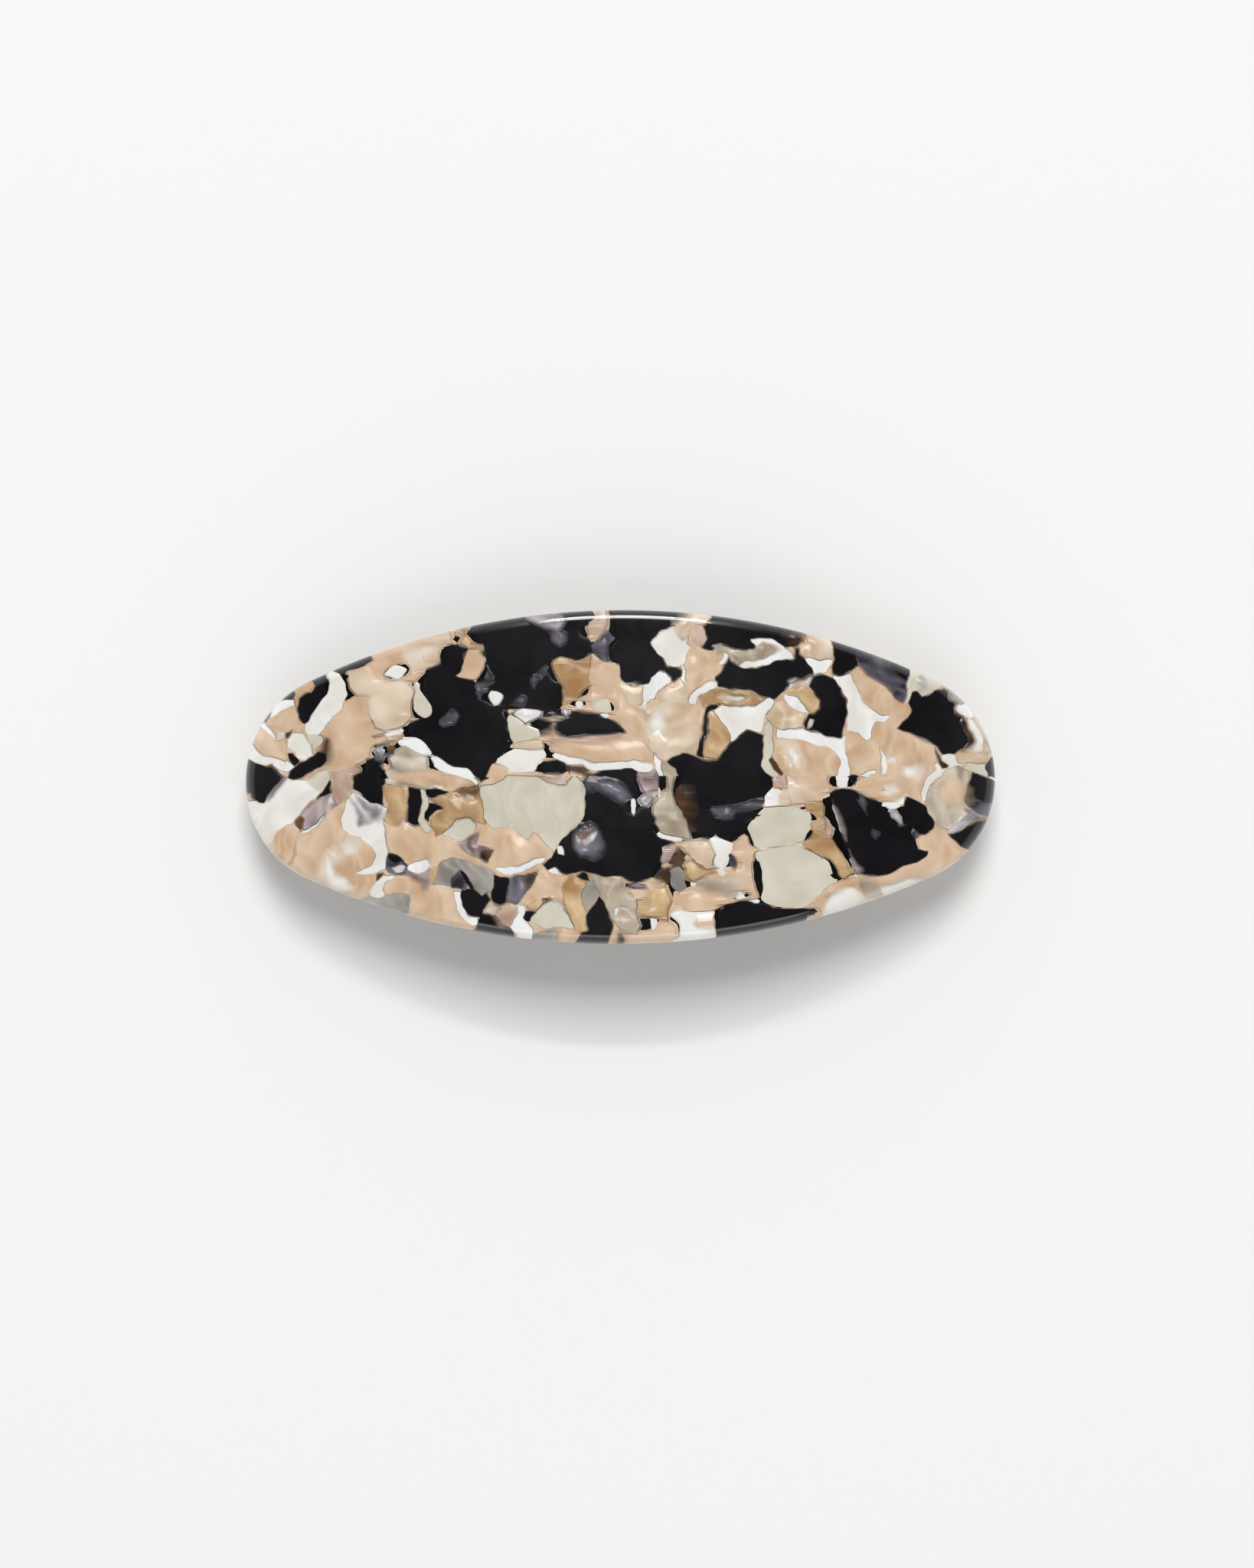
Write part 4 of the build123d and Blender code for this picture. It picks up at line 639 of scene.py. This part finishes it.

# ------------------------------------------------------------------ the colours of the chips
# Each kind has a deep and a light colour, between which a painted sheen runs (its pearly
# highlights painted into the colour), and how strongly the folds pressed into it show under the
# polish.
KINDS = {
    "tan": ((203, 168, 135), (228, 202, 174), 0.6),
    "sand": ((200, 172, 141), (235, 217, 194), 0.9),
    "putty": ((158, 142, 120), (222, 210, 192), 0.8),
    "cream": ((206, 199, 181), (222, 216, 200), 0.10),
    "ivory": ((230, 226, 217), (246, 244, 239), 0.2),
    "white": ((232, 230, 226), (248, 247, 245), 0.2),
    # silver pearl chips: their pale end and bright streaks are painted glints
    "silver_glint": ((132, 122, 128), (250, 247, 247), 1.0),
    "grey": ((134, 129, 122), (186, 179, 168), 0.4),
    "smoke": ((40, 37, 44), (130, 126, 138), 0.8),
    "mauve": ((120, 98, 96), (208, 192, 188), 0.9),
    "rose": ((178, 147, 127), (214, 191, 173), 0.8),
    "honey": ((166, 127, 84), (222, 193, 150), 0.9),
    "brown": ((44, 29, 19), (112, 80, 52), 0.4),
    "black": ((9, 7, 10), (18, 15, 20), 0.04),
}
GROUND = "tan"
FAR = 40.0  # stands for "deep inside" or "far away" in a field
REACH = 1.6  # mm round a chip in which its border is felt
SHARPEST = 0.07  # mm over which the crispest border fades
SLANT = 2.5  # how much softer a border is where it slants through the sheet
SHARP_TURN = radians(65)  # an outline's corner that turns by about this much or more is a tip
GOLDEN_ANGLE = 2.39996  # turns each chip's sheen away from its neighbours'
CLOUD_SCALE = (0.42, 0.28)  # the sheen's clouds and folds, across and along a chip
FOLD_SCALE = (0.55, 0.25)
WAVER = 0.07  # mm by which every border wavers, with a finer ripple on top
RIPPLE = 0.05


def linear(colour):
    """An sRGB colour of 0 to 255 as the linear colour that shaders use."""
    parts = [c / 255 for c in colour]
    return tuple(c / 12.92 if c < 0.04045 else ((c + 0.055) / 1.055) ** 2.4 for c in parts)


def rounded(corners, steps=4):
    """A closed outline through the corners, curved where they turn gently and sharp at its tips."""
    p = np.array(corners)
    before, after = p - np.roll(p, 1, 0), np.roll(p, -1, 0) - p
    long_before, long_after = np.linalg.norm(before, axis=1), np.linalg.norm(after, axis=1)
    turn = np.arccos(np.clip((before * after).sum(1) / (long_before * long_after), -1, 1))
    soft = np.clip(1.1 - turn / SHARP_TURN, 0, 1)
    way = before / long_before[:, None] + after / long_after[:, None]
    way /= np.maximum(np.linalg.norm(way, axis=1), 1e-6)[:, None]
    pull = way * soft[:, None]
    end, end_pull = np.roll(p, -1, 0), np.roll(pull, -1, 0)
    rows = []
    for t in np.arange(steps) / steps:
        h1, h2 = 2 * t**3 - 3 * t**2 + 1, t**3 - 2 * t**2 + t
        h3, h4 = 3 * t**2 - 2 * t**3, t**3 - t**2
        rows.append(h1 * p + h3 * end + long_after[:, None] * (h2 * pull + h4 * end_pull))
    return np.stack(rows, 1).reshape(-1, 2)


def depth_inside(points, outline):
    """The distance of each point from the outline, in mm, above zero inside it."""
    start, end = outline, np.roll(outline, -1, 0)
    side = end - start
    to = points[:, None] - start[None]
    along = np.clip((to * side).sum(2) / np.maximum((side**2).sum(1), 1e-9), 0, 1)
    away = np.sqrt((((to - along[..., None] * side)) ** 2).sum(2)).min(1)
    x, y = points[:, :1], points[:, 1:]
    spans = (start[:, 1] > y) != (end[:, 1] > y)
    rise = np.where(side[:, 1] == 0, 1e-9, side[:, 1])
    crossed = spans & (x < start[:, 0] + (y - start[:, 1]) * side[:, 0] / rise)
    return np.where(crossed.sum(1) % 2 == 1, away, -away)


def painted_sheen(points, number):
    """The sheen painted over one chip, from -1 to 1: soft bands and folds of painted highlight that
    lie in its own direction.
    """
    turn = number * GOLDEN_ANGLE
    across = points @ np.array([cos(turn), sin(turn)])
    along = points @ np.array([-sin(turn), cos(turn)])
    bands = []
    for u, v in zip(across, along):
        cloud_place = (u * CLOUD_SCALE[0], v * CLOUD_SCALE[1], number * 3.7)
        cloud = noise.noise(Vector(cloud_place))
        fold_place = (u * FOLD_SCALE[0] + cloud, v * FOLD_SCALE[1], number * 5.3)
        fold = 1 - 3.2 * abs(noise.noise(Vector(fold_place)))
        bands.append(1.1 * cloud + 0.75 * fold - 0.3)
    lean = 0.3 * sin(number * 1.7)
    return np.clip(np.array(bands) + lean, -1, 1)


def soft_step(x):
    """Rises smoothly from 0 to 1 while x goes from -1 to 1."""
    x = np.clip((x + 1) / 2, 0, 1)
    return x * x * (3 - 2 * x)


def lay_chips(points):
    """Every kind's field, above zero where that kind shows, the painted sheen, and the distance
    from the nearest border, at points in mm."""
    x, y = points.T
    waver_x = WAVER * np.sin(2.1 * y + 1.3 * np.sin(0.9 * x)) + RIPPLE * np.sin(4.3 * y - 1.7 * x)
    waver_y = WAVER * np.sin(1.9 * x + 1.1 * np.sin(1.1 * y)) + RIPPLE * np.sin(3.7 * x + 2.3 * y)
    points = points + np.stack([waver_x, waver_y], 1)
    fields = {kind: np.full(len(points), -FAR) for kind in KINDS}
    fields[GROUND][:] = FAR
    sheen = painted_sheen(points, 0)
    border = np.full(len(points), REACH)
    for number, (kind, corners, blur) in enumerate(CHIPS, 1):
        outline = rounded(corners)
        low, high = outline.min(0) - REACH, outline.max(0) + REACH
        near = np.flatnonzero(((points > low) & (points < high)).all(1))
        if len(near) == 0:
            continue
        d = depth_inside(points[near], outline)
        border[near] = np.where(d > 0, np.minimum(d, REACH), np.minimum(border[near], -d))
        near_x, near_y = points[near].T
        slant = np.sin(0.7 * near_x + 1.3 * number) * np.sin(0.6 * near_y + 2.1 * number)
        d /= max(blur, SHARPEST) * (1 + SLANT * np.clip(slant, 0, 1))
        for other, field in fields.items():
            if other == kind:
                field[near] = np.maximum(field[near], d)
            else:
                field[near] = np.minimum(field[near], -d)
        inner = d > -1
        own, share = near[inner], soft_step(d[inner])
        sheen[own] += (painted_sheen(points[own], number) - sheen[own]) * share
    return fields, sheen, border


# ------------------------------------------------------------------ the plate's mesh
RAYS = 800  # round the outline; the rows run from the face's middle to the back's
FACE_ROWS = 80
ROUND_ROWS = 7
SIDE_ROWS = 6
BACK_ROUND_ROWS = 4
BACK_ROWS = 20
DRIFT = (0.28, -0.2)  # how far a chip slants along x and y for each mm of depth
PARTING = 2.2  # mm under the face, where one layer of chips gives way to the other
PARTING_WAVE = 0.4  # mm by which the parting rises and falls
FUSING = 0.9  # mm to either side of the parting, over which the layers fuse


def outline_rays():
    """The oval's four arcs, as a point and an outward direction for each ray, and its inner end."""
    end_x = HALF_LENGTH - END_RADIUS
    side_radius = (end_x**2 + HALF_WIDTH**2 - END_RADIUS**2) / (2 * (HALF_WIDTH - END_RADIUS))
    side_y = HALF_WIDTH - side_radius
    lean = atan2(end_x, -side_y)
    end_turn = pi / 2 - lean
    quarter = RAYS // 4
    end_share = END_RADIUS * end_turn / (END_RADIUS * end_turn + side_radius * lean)
    end_rays = round(quarter * end_share)
    angles = list(np.linspace(0, end_turn, end_rays, endpoint=False))
    angles += list(np.linspace(end_turn, pi / 2, quarter - end_rays, endpoint=False))
    rays = []
    for turn in range(4):
        for a in (angles if turn % 2 == 0 else [pi / 2 - b for b in angles]):
            out = Vector((cos(a), sin(a)))
            if a <= end_turn + 1e-9:
                centre = Vector((end_x, 0))
                edge = centre + END_RADIUS * out
            else:
                edge = Vector((0, side_y)) + side_radius * out
                centre = Vector((out.x * -side_y / out.y, 0))
            sign_x, sign_y = ((1, 1), (-1, 1), (-1, -1), (1, -1))[turn]
            rays.append([(v.x * sign_x, v.y * sign_y) for v in (centre, edge, out)])
    return np.array(rays)


def plate_profile():
    """The rows from the face's middle to the back's middle. A row is how far out along the ray,
    as a share for the flat rows or as mm in from the edge for the rim, and how deep in mm."""
    rows = [("share", t, 0.0) for t in np.linspace(0, 1, FACE_ROWS, endpoint=False)[1:]]
    for a in np.linspace(0, pi / 2, ROUND_ROWS):
        rows.append(("rim", FRONT_ROUND * (1 - sin(a)), FRONT_ROUND * (1 - cos(a))))
    for deep in np.linspace(FRONT_ROUND, THICK - BACK_ROUND, SIDE_ROWS + 1)[1:]:
        rows.append(("rim", 0.0, deep))
    for a in np.linspace(0, pi / 2, BACK_ROUND_ROWS + 1)[1:]:
        rows.append(("rim", BACK_ROUND * (1 - cos(a)), THICK - BACK_ROUND * (1 - sin(a))))
    rows += [("back", t, THICK) for t in np.linspace(1, 0, BACK_ROWS, endpoint=False)[1:]]
    return rows


def plate_points():
    """The plate's points in mm: flat places, depths under the face, and the points in a row."""
    rays = outline_rays()
    centre, edge, out = rays[:, 0], rays[:, 1], rays[:, 2]
    flat, depth = [centre], [np.zeros(len(rays))]
    for form, value, deep in plate_profile():
        inset = {"share": FRONT_ROUND, "back": BACK_ROUND, "rim": 0.0}[form]
        if form == "rim":
            flat.append(edge - out * value)
        else:
            flat.append(centre + (edge - out * inset - centre) * value)
        depth.append(np.full(len(rays), deep))
    flat.append(centre)
    depth.append(np.full(len(rays), THICK))
    return np.concatenate(flat), np.concatenate(depth), len(rays)


def build_plate():
    """The plate: its rows bent about the arch's axis, with the chips' fields on every point."""
    flat, depth, around = plate_points()
    rows = len(flat) // around
    arch_z = TOP - FACE_RADIUS
    spoke = np.arcsin(flat[:, 0] / FACE_RADIUS)
    radius = FACE_RADIUS - depth
    place = np.stack([FACE_RADIUS * np.sin(spoke), flat[:, 1],
                      arch_z + np.sqrt(radius**2 - (FACE_RADIUS * np.sin(spoke)) ** 2)], 1)
    i = np.arange(around)
    after = (i + 1) % around
    faces = []
    for row in range(rows - 1):
        here, there = row * around, (row + 1) * around
        faces += np.stack([here + i, there + i, there + after, here + after], 1).tolist()
    mesh = bpy.data.meshes.new("acetate")
    mesh.from_pydata((place * MM).tolist(), [], faces)

    # The chips slant a little through the sheet, and a mirrored layer of them backs the first.
    drift = depth[:, None] * np.array(DRIFT)
    front = flat + drift
    back = flat * (-1, 1) + drift
    parting = PARTING + PARTING_WAVE * np.sin(0.55 * flat[:, 0] + 0.4 * flat[:, 1])
    behind = soft_step((depth - parting) / FUSING)
    fields, sheen, border = lay_chips(front)
    back_fields, back_sheen, back_border = lay_chips(back)
    for kind in KINDS:
        fields[kind] += (back_fields[kind] - fields[kind]) * behind
    sheen += (back_sheen - sheen) * behind
    border += (back_border - border) * behind
    for kind, field in fields.items():
        layer = mesh.attributes.new("is_" + kind, "FLOAT", "POINT")
        layer.data.foreach_set("value", np.clip(field, -FAR, FAR).astype(np.float32))
    for name, values in (("sheen", sheen), ("border", border)):
        layer = mesh.attributes.new(name, "FLOAT", "POINT")
        layer.data.foreach_set("value", values.astype(np.float32))

    shape = bmesh.new()
    shape.from_mesh(mesh)
    bmesh.ops.remove_doubles(shape, verts=shape.verts, dist=1e-6)
    bmesh.ops.recalc_face_normals(shape, faces=shape.faces)
    for face in shape.faces:
        face.smooth = True
    shape.to_mesh(mesh)
    shape.free()
    plate = bpy.data.objects.new("mottled_plate", mesh)
    bpy.context.collection.objects.link(plate)
    return plate


# ------------------------------------------------------------------ materials
def new_material(name):
    """A material with its node tree and its shader."""
    material = bpy.data.materials.new(name)
    material.use_nodes = True
    tree = material.node_tree
    return material, tree, tree.nodes["Principled BSDF"]


def node(tree, kind, inputs=None, **settings):
    """A node with its settings, whose inputs are values or other nodes' outputs."""
    made = tree.nodes.new("ShaderNode" + kind)
    for name, value in settings.items():
        setattr(made, name, value)
    for key, value in (inputs or {}).items():
        if isinstance(value, bpy.types.NodeSocket):
            tree.links.new(value, made.inputs[key])
        else:
            made.inputs[key].default_value = value
    return made


def smooth_range(tree, value, come, go):
    """The value's range "come" laid on the range "go", easing in and out at its ends."""
    inputs = {"Value": value, "From Min": come[0], "From Max": come[1],
              "To Min": go[0], "To Max": go[1]}
    mapped = node(tree, "MapRange", inputs, interpolation_type="SMOOTHSTEP")
    return mapped.outputs["Result"]


AMBER = (0.62, 0.47, 0.31)  # what a seam lets through
SEAM_DARKNESS = 0.28
SEAM_WIDTH = (0.02, 0.16)  # mm from a border, where a seam starts to fade and is gone
FOLD_DEPTH = 0.0010
SKIN_RIPPLE = 0.0003


def acetate_material():
    """Polished acetate: the kinds of chip, weighed by their fields, each with its own painted sheen
    and bumped folds under a clear glossy skin, and thin amber seams here and there where chips fused."""
    material, tree, shader = new_material("mottled_acetate")
    place = node(tree, "TexCoord").outputs["Object"]
    fine = node(tree, "TexNoise", {"Vector": place, "Scale": 2600.0, "Detail": 4.0})
    cloud = node(tree, "TexNoise", {"Vector": place, "Scale": 210.0, "Detail": 1.0,
                                    "Distortion": 0.5})
    sheen = node(tree, "Attribute", attribute_name="sheen").outputs["Fac"]
    border = node(tree, "Attribute", attribute_name="border").outputs["Fac"]
    speck = node(tree, "Math", {0: fine.outputs["Fac"], 1: 0.24, 2: -0.12}, operation="MULTIPLY_ADD")
    soft = node(tree, "Math", {0: cloud.outputs["Fac"], 1: 0.60, 2: -0.30}, operation="MULTIPLY_ADD")
    # tone: the painted sheen of pearly highlights, with fine specks and soft clouds of random tone
    tone = node(tree, "Math", {0: sheen, 1: 0.5, 2: 0.5}, operation="MULTIPLY_ADD").outputs[0]
    tone = node(tree, "Math", {0: tone, 1: speck.outputs[0]}, operation="ADD").outputs[0]
    tone = node(tree, "Math", {0: tone, 1: soft.outputs[0]}, operation="ADD",
                use_clamp=True).outputs[0]
    total, relief, deep, light = 0.0, 0.0, (0.0, 0.0, 0.0), (0.0, 0.0, 0.0)
    for kind, (dark, pale, fold) in KINDS.items():
        field = node(tree, "Attribute", attribute_name="is_" + kind).outputs["Fac"]
        weight = smooth_range(tree, field, (-1.0, 1.0), (0.0, 1.0))
        total = node(tree, "Math", {0: weight, 1: total}, operation="ADD").outputs[0]
        relief = node(tree, "Math", {0: weight, 1: fold, 2: relief},
                      operation="MULTIPLY_ADD").outputs[0]
        deep = node(tree, "VectorMath", {0: weight, 1: linear(dark), 2: deep},
                    operation="MULTIPLY_ADD").outputs[0]
        light = node(tree, "VectorMath", {0: weight, 1: linear(pale), 2: light},
                     operation="MULTIPLY_ADD").outputs[0]
    # each kind's colour runs from its deep to its light end with that tone, so the painted sheen lies
    # in the base colour
    both = node(tree, "Mix", {"Factor": tone}, data_type="VECTOR")
    tree.links.new(deep, both.inputs[4])
    tree.links.new(light, both.inputs[5])
    colour = node(tree, "VectorMath", {0: both.outputs[1], 1: total}, operation="DIVIDE").outputs[0]

    patchy = node(tree, "TexNoise", {"Vector": place, "Scale": 180.0, "Detail": 1.0})
    here = smooth_range(tree, patchy.outputs["Fac"], (0.53, 0.64), (0.0, SEAM_DARKNESS))
    thin = smooth_range(tree, border, SEAM_WIDTH, (1.0, 0.0))
    seam = node(tree, "Math", {0: here, 1: thin}, operation="MULTIPLY").outputs[0]
    amber = node(tree, "VectorMath", {0: colour, 1: AMBER}, operation="MULTIPLY").outputs[0]
    mixed = node(tree, "Mix", {"Factor": seam}, data_type="VECTOR")
    tree.links.new(colour, mixed.inputs[4])
    tree.links.new(amber, mixed.inputs[5])
    tree.links.new(mixed.outputs[1], shader.inputs["Base Color"])

    swell = smooth_range(tree, border, (0.0, 1.3), (0.0, 1.0))
    height = node(tree, "Math", {0: swell, 1: 0.15, 2: cloud.outputs["Fac"]},
                  operation="MULTIPLY_ADD").outputs[0]
    height = node(tree, "Math", {0: relief, 1: height}, operation="MULTIPLY").outputs[0]
    folds = node(tree, "Bump", {"Height": height, "Strength": 1.0, "Distance": FOLD_DEPTH})
    tree.links.new(folds.outputs["Normal"], shader.inputs["Normal"])
    ripple = node(tree, "TexNoise", {"Vector": place, "Scale": 90.0, "Detail": 1.0})
    skin = node(tree, "Bump", {"Height": ripple.outputs["Fac"], "Strength": 0.04,
                               "Distance": SKIN_RIPPLE})
    tree.links.new(skin.outputs["Normal"], shader.inputs["Coat Normal"])
    rough = node(tree, "MapRange", {"Value": cloud.outputs["Fac"], "To Min": 0.17, "To Max": 0.28})
    tree.links.new(rough.outputs["Result"], shader.inputs["Roughness"])
    shader.inputs["IOR"].default_value = 1.48
    shader.inputs["Specular IOR Level"].default_value = 0.45
    shader.inputs["Coat Weight"].default_value = 1.0
    shader.inputs["Coat Roughness"].default_value = 0.02
    shader.inputs["Coat IOR"].default_value = 1.6
    return material


STAIN = 0.95
LINE_STRETCH = 14.0
LINE_DEPTH = 0.00004


def metal_material(name, colour, roughness, grain, axis):
    """Plated steel strip: fine rolling lines along the strip, faint stains and handling marks."""
    material, tree, shader = new_material(name)
    place = node(tree, "TexCoord").outputs["Object"]
    stretch = [1.0 if i == axis else LINE_STRETCH for i in range(3)]
    drawn = node(tree, "VectorMath", {0: place, 1: stretch}, operation="MULTIPLY").outputs[0]
    lines = node(tree, "TexNoise", {"Vector": drawn, "Scale": grain, "Detail": 5.0, "Roughness": 0.65})
    stain = node(tree, "TexNoise", {"Vector": place, "Scale": 420.0, "Detail": 3.0, "Distortion": 0.3})
    tint = node(tree, "ValToRGB", {"Fac": stain.outputs["Fac"]})
    stained, clean = tint.color_ramp.elements
    stained.position, clean.position = 0.25, 0.75
    stained.color = (*linear([c * STAIN for c in colour]), 1)
    clean.color = (*linear(colour), 1)
    tree.links.new(tint.outputs["Color"], shader.inputs["Base Color"])
    rough = node(tree, "MapRange", {"Value": lines.outputs["Fac"], "To Min": roughness * 0.6,
                                    "To Max": roughness * 1.5})
    tree.links.new(rough.outputs["Result"], shader.inputs["Roughness"])
    bump = node(tree, "Bump", {"Height": lines.outputs["Fac"], "Strength": 0.35,
                               "Distance": LINE_DEPTH})
    tree.links.new(bump.outputs["Normal"], shader.inputs["Normal"])
    shader.inputs["Metallic"].default_value = 1.0
    return material


def dress(name, material):
    """Gives a CAD node its material. Its shape and shading stay as the CAD has them."""
    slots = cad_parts[name].data.materials
    slots.clear()
    slots.append(material)


plate = build_plate()
plate.data.materials.append(acetate_material())
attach(plate, "plate")
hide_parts("acetate_plate")

nickel = metal_material("nickel_plate", (226, 223, 216), 0.20, 900.0, 0)
spring = metal_material("rolled_spring", (206, 206, 206), 0.26, 1400.0, 0)
rivet = metal_material("peened_rivet", (214, 211, 204), 0.30, 1100.0, 1)
for name in ("base_strip", "latch_seat", "latch_wing_left", "latch_wing_right", "clasp_arm"):
    dress(name, nickel)
dress("tension_spring", spring)
for name in ("mounting_rivets", "latch_rivet", "hinge_pin"):
    dress(name, rivet)

# ------------------------------------------------------------------ floor, light and camera
FLOOR_HALF = 6.0
ELEVATION = radians(86.7)
DISTANCE = 0.553
LENS = 100.0
AIM = Vector((0.00085, -0.00078, 0.012))
ROLL = radians(-0.3)
RING_GLOW = 0.70
OVERHEAD_GLOW = 0.03
HORIZON_HAZE = 0.33
FLOOR_GAP = 0.00005  # the floor lies just clear of the clasp


def floor_material():
    """Matt pale paper with the faintest change of tone."""
    material, tree, shader = new_material("pale_floor")
    place = node(tree, "TexCoord").outputs["Object"]
    soft = node(tree, "TexNoise", {"Vector": place, "Scale": 3.0, "Detail": 2.0})
    tint = node(tree, "ValToRGB", {"Fac": soft.outputs["Fac"]})
    tint.color_ramp.elements[0].color = (0.90, 0.895, 0.885, 1)
    tint.color_ramp.elements[1].color = (0.915, 0.91, 0.90, 1)
    tree.links.new(tint.outputs["Color"], shader.inputs["Base Color"])
    shader.inputs["Roughness"].default_value = 0.9
    shader.inputs["Specular IOR Level"].default_value = 0.1
    return material


def build_floor():
    """A plain pale table top, wide enough to fill every view from above."""
    shape = bmesh.new()
    bmesh.ops.create_grid(shape, x_segments=8, y_segments=8, size=FLOOR_HALF)
    mesh = bpy.data.meshes.new("floor")
    shape.to_mesh(mesh)
    shape.free()
    floor = bpy.data.objects.new("floor", mesh)
    bpy.context.collection.objects.link(floor)
    floor.location.z = cad_bounds[0][2] - FLOOR_GAP
    floor.data.materials.append(floor_material())
    return floor


def area_light(name, place, size, power, colour, aim=(0, 0, 0.01)):
    """A rectangle of light that faces the plate, unless it is aimed elsewhere."""
    data = bpy.data.lights.new(name, "AREA")
    data.shape = "RECTANGLE"
    data.size, data.size_y = size
    data.energy = power
    data.color = colour
    light = bpy.data.objects.new(name, data)
    light.location = place
    light.rotation_euler = (Vector(aim) - Vector(place)).to_track_quat("-Z", "Y").to_euler()
    bpy.context.collection.objects.link(light)
    return light


def build_world():
    """A soft ring of light all round, darker overhead, where the polished face would mirror it."""
    world = bpy.data.worlds.new("studio")
    world.use_nodes = True
    tree = world.node_tree
    toward = node(tree, "TexCoord").outputs["Generated"]
    height = node(tree, "SeparateXYZ", {"Vector": toward}).outputs["Z"]
    glow = smooth_range(tree, height, (0.55, 0.85), (RING_GLOW, OVERHEAD_GLOW))
    haze = smooth_range(tree, height, (0.0, 0.12), (HORIZON_HAZE, 0.0))
    glow = node(tree, "Math", {0: glow, 1: haze}, operation="ADD").outputs[0]
    back = tree.nodes["Background"]
    back.inputs["Color"].default_value = (0.945, 0.97, 1.0, 1)
    tree.links.new(glow, back.inputs["Strength"])
    bpy.context.scene.world = world


def build_camera():
    """A long lens almost straight above the plate, leaning a little to the front."""
    data = bpy.data.cameras.new("camera")
    data.lens = LENS
    data.clip_start = 0.01
    camera = bpy.data.objects.new("camera", data)
    away = Vector((0, -cos(ELEVATION), sin(ELEVATION)))
    camera.location = AIM + away * DISTANCE
    turn = (-away).to_track_quat("-Z", "Y")
    camera.rotation_euler = (turn.to_matrix() @ Matrix.Rotation(ROLL, 3, "Z")).to_euler()
    bpy.context.collection.objects.link(camera)
    bpy.context.scene.camera = camera


build_floor()
area_light("key", (0.03, 1.14, 2.1), (0.90, 1.00), 28.0, (1.0, 0.99, 0.975))
area_light("strip", (0.03, 1.55, 1.85), (0.86, 0.10), 9.5, (1.0, 0.99, 0.975))
area_light("front", (0.0, -1.25, 2.3), (2.4, 1.2), 12.5, (1.0, 0.995, 0.99))
build_world()
bpy.context.scene.view_settings.view_transform = "Standard"
build_camera()
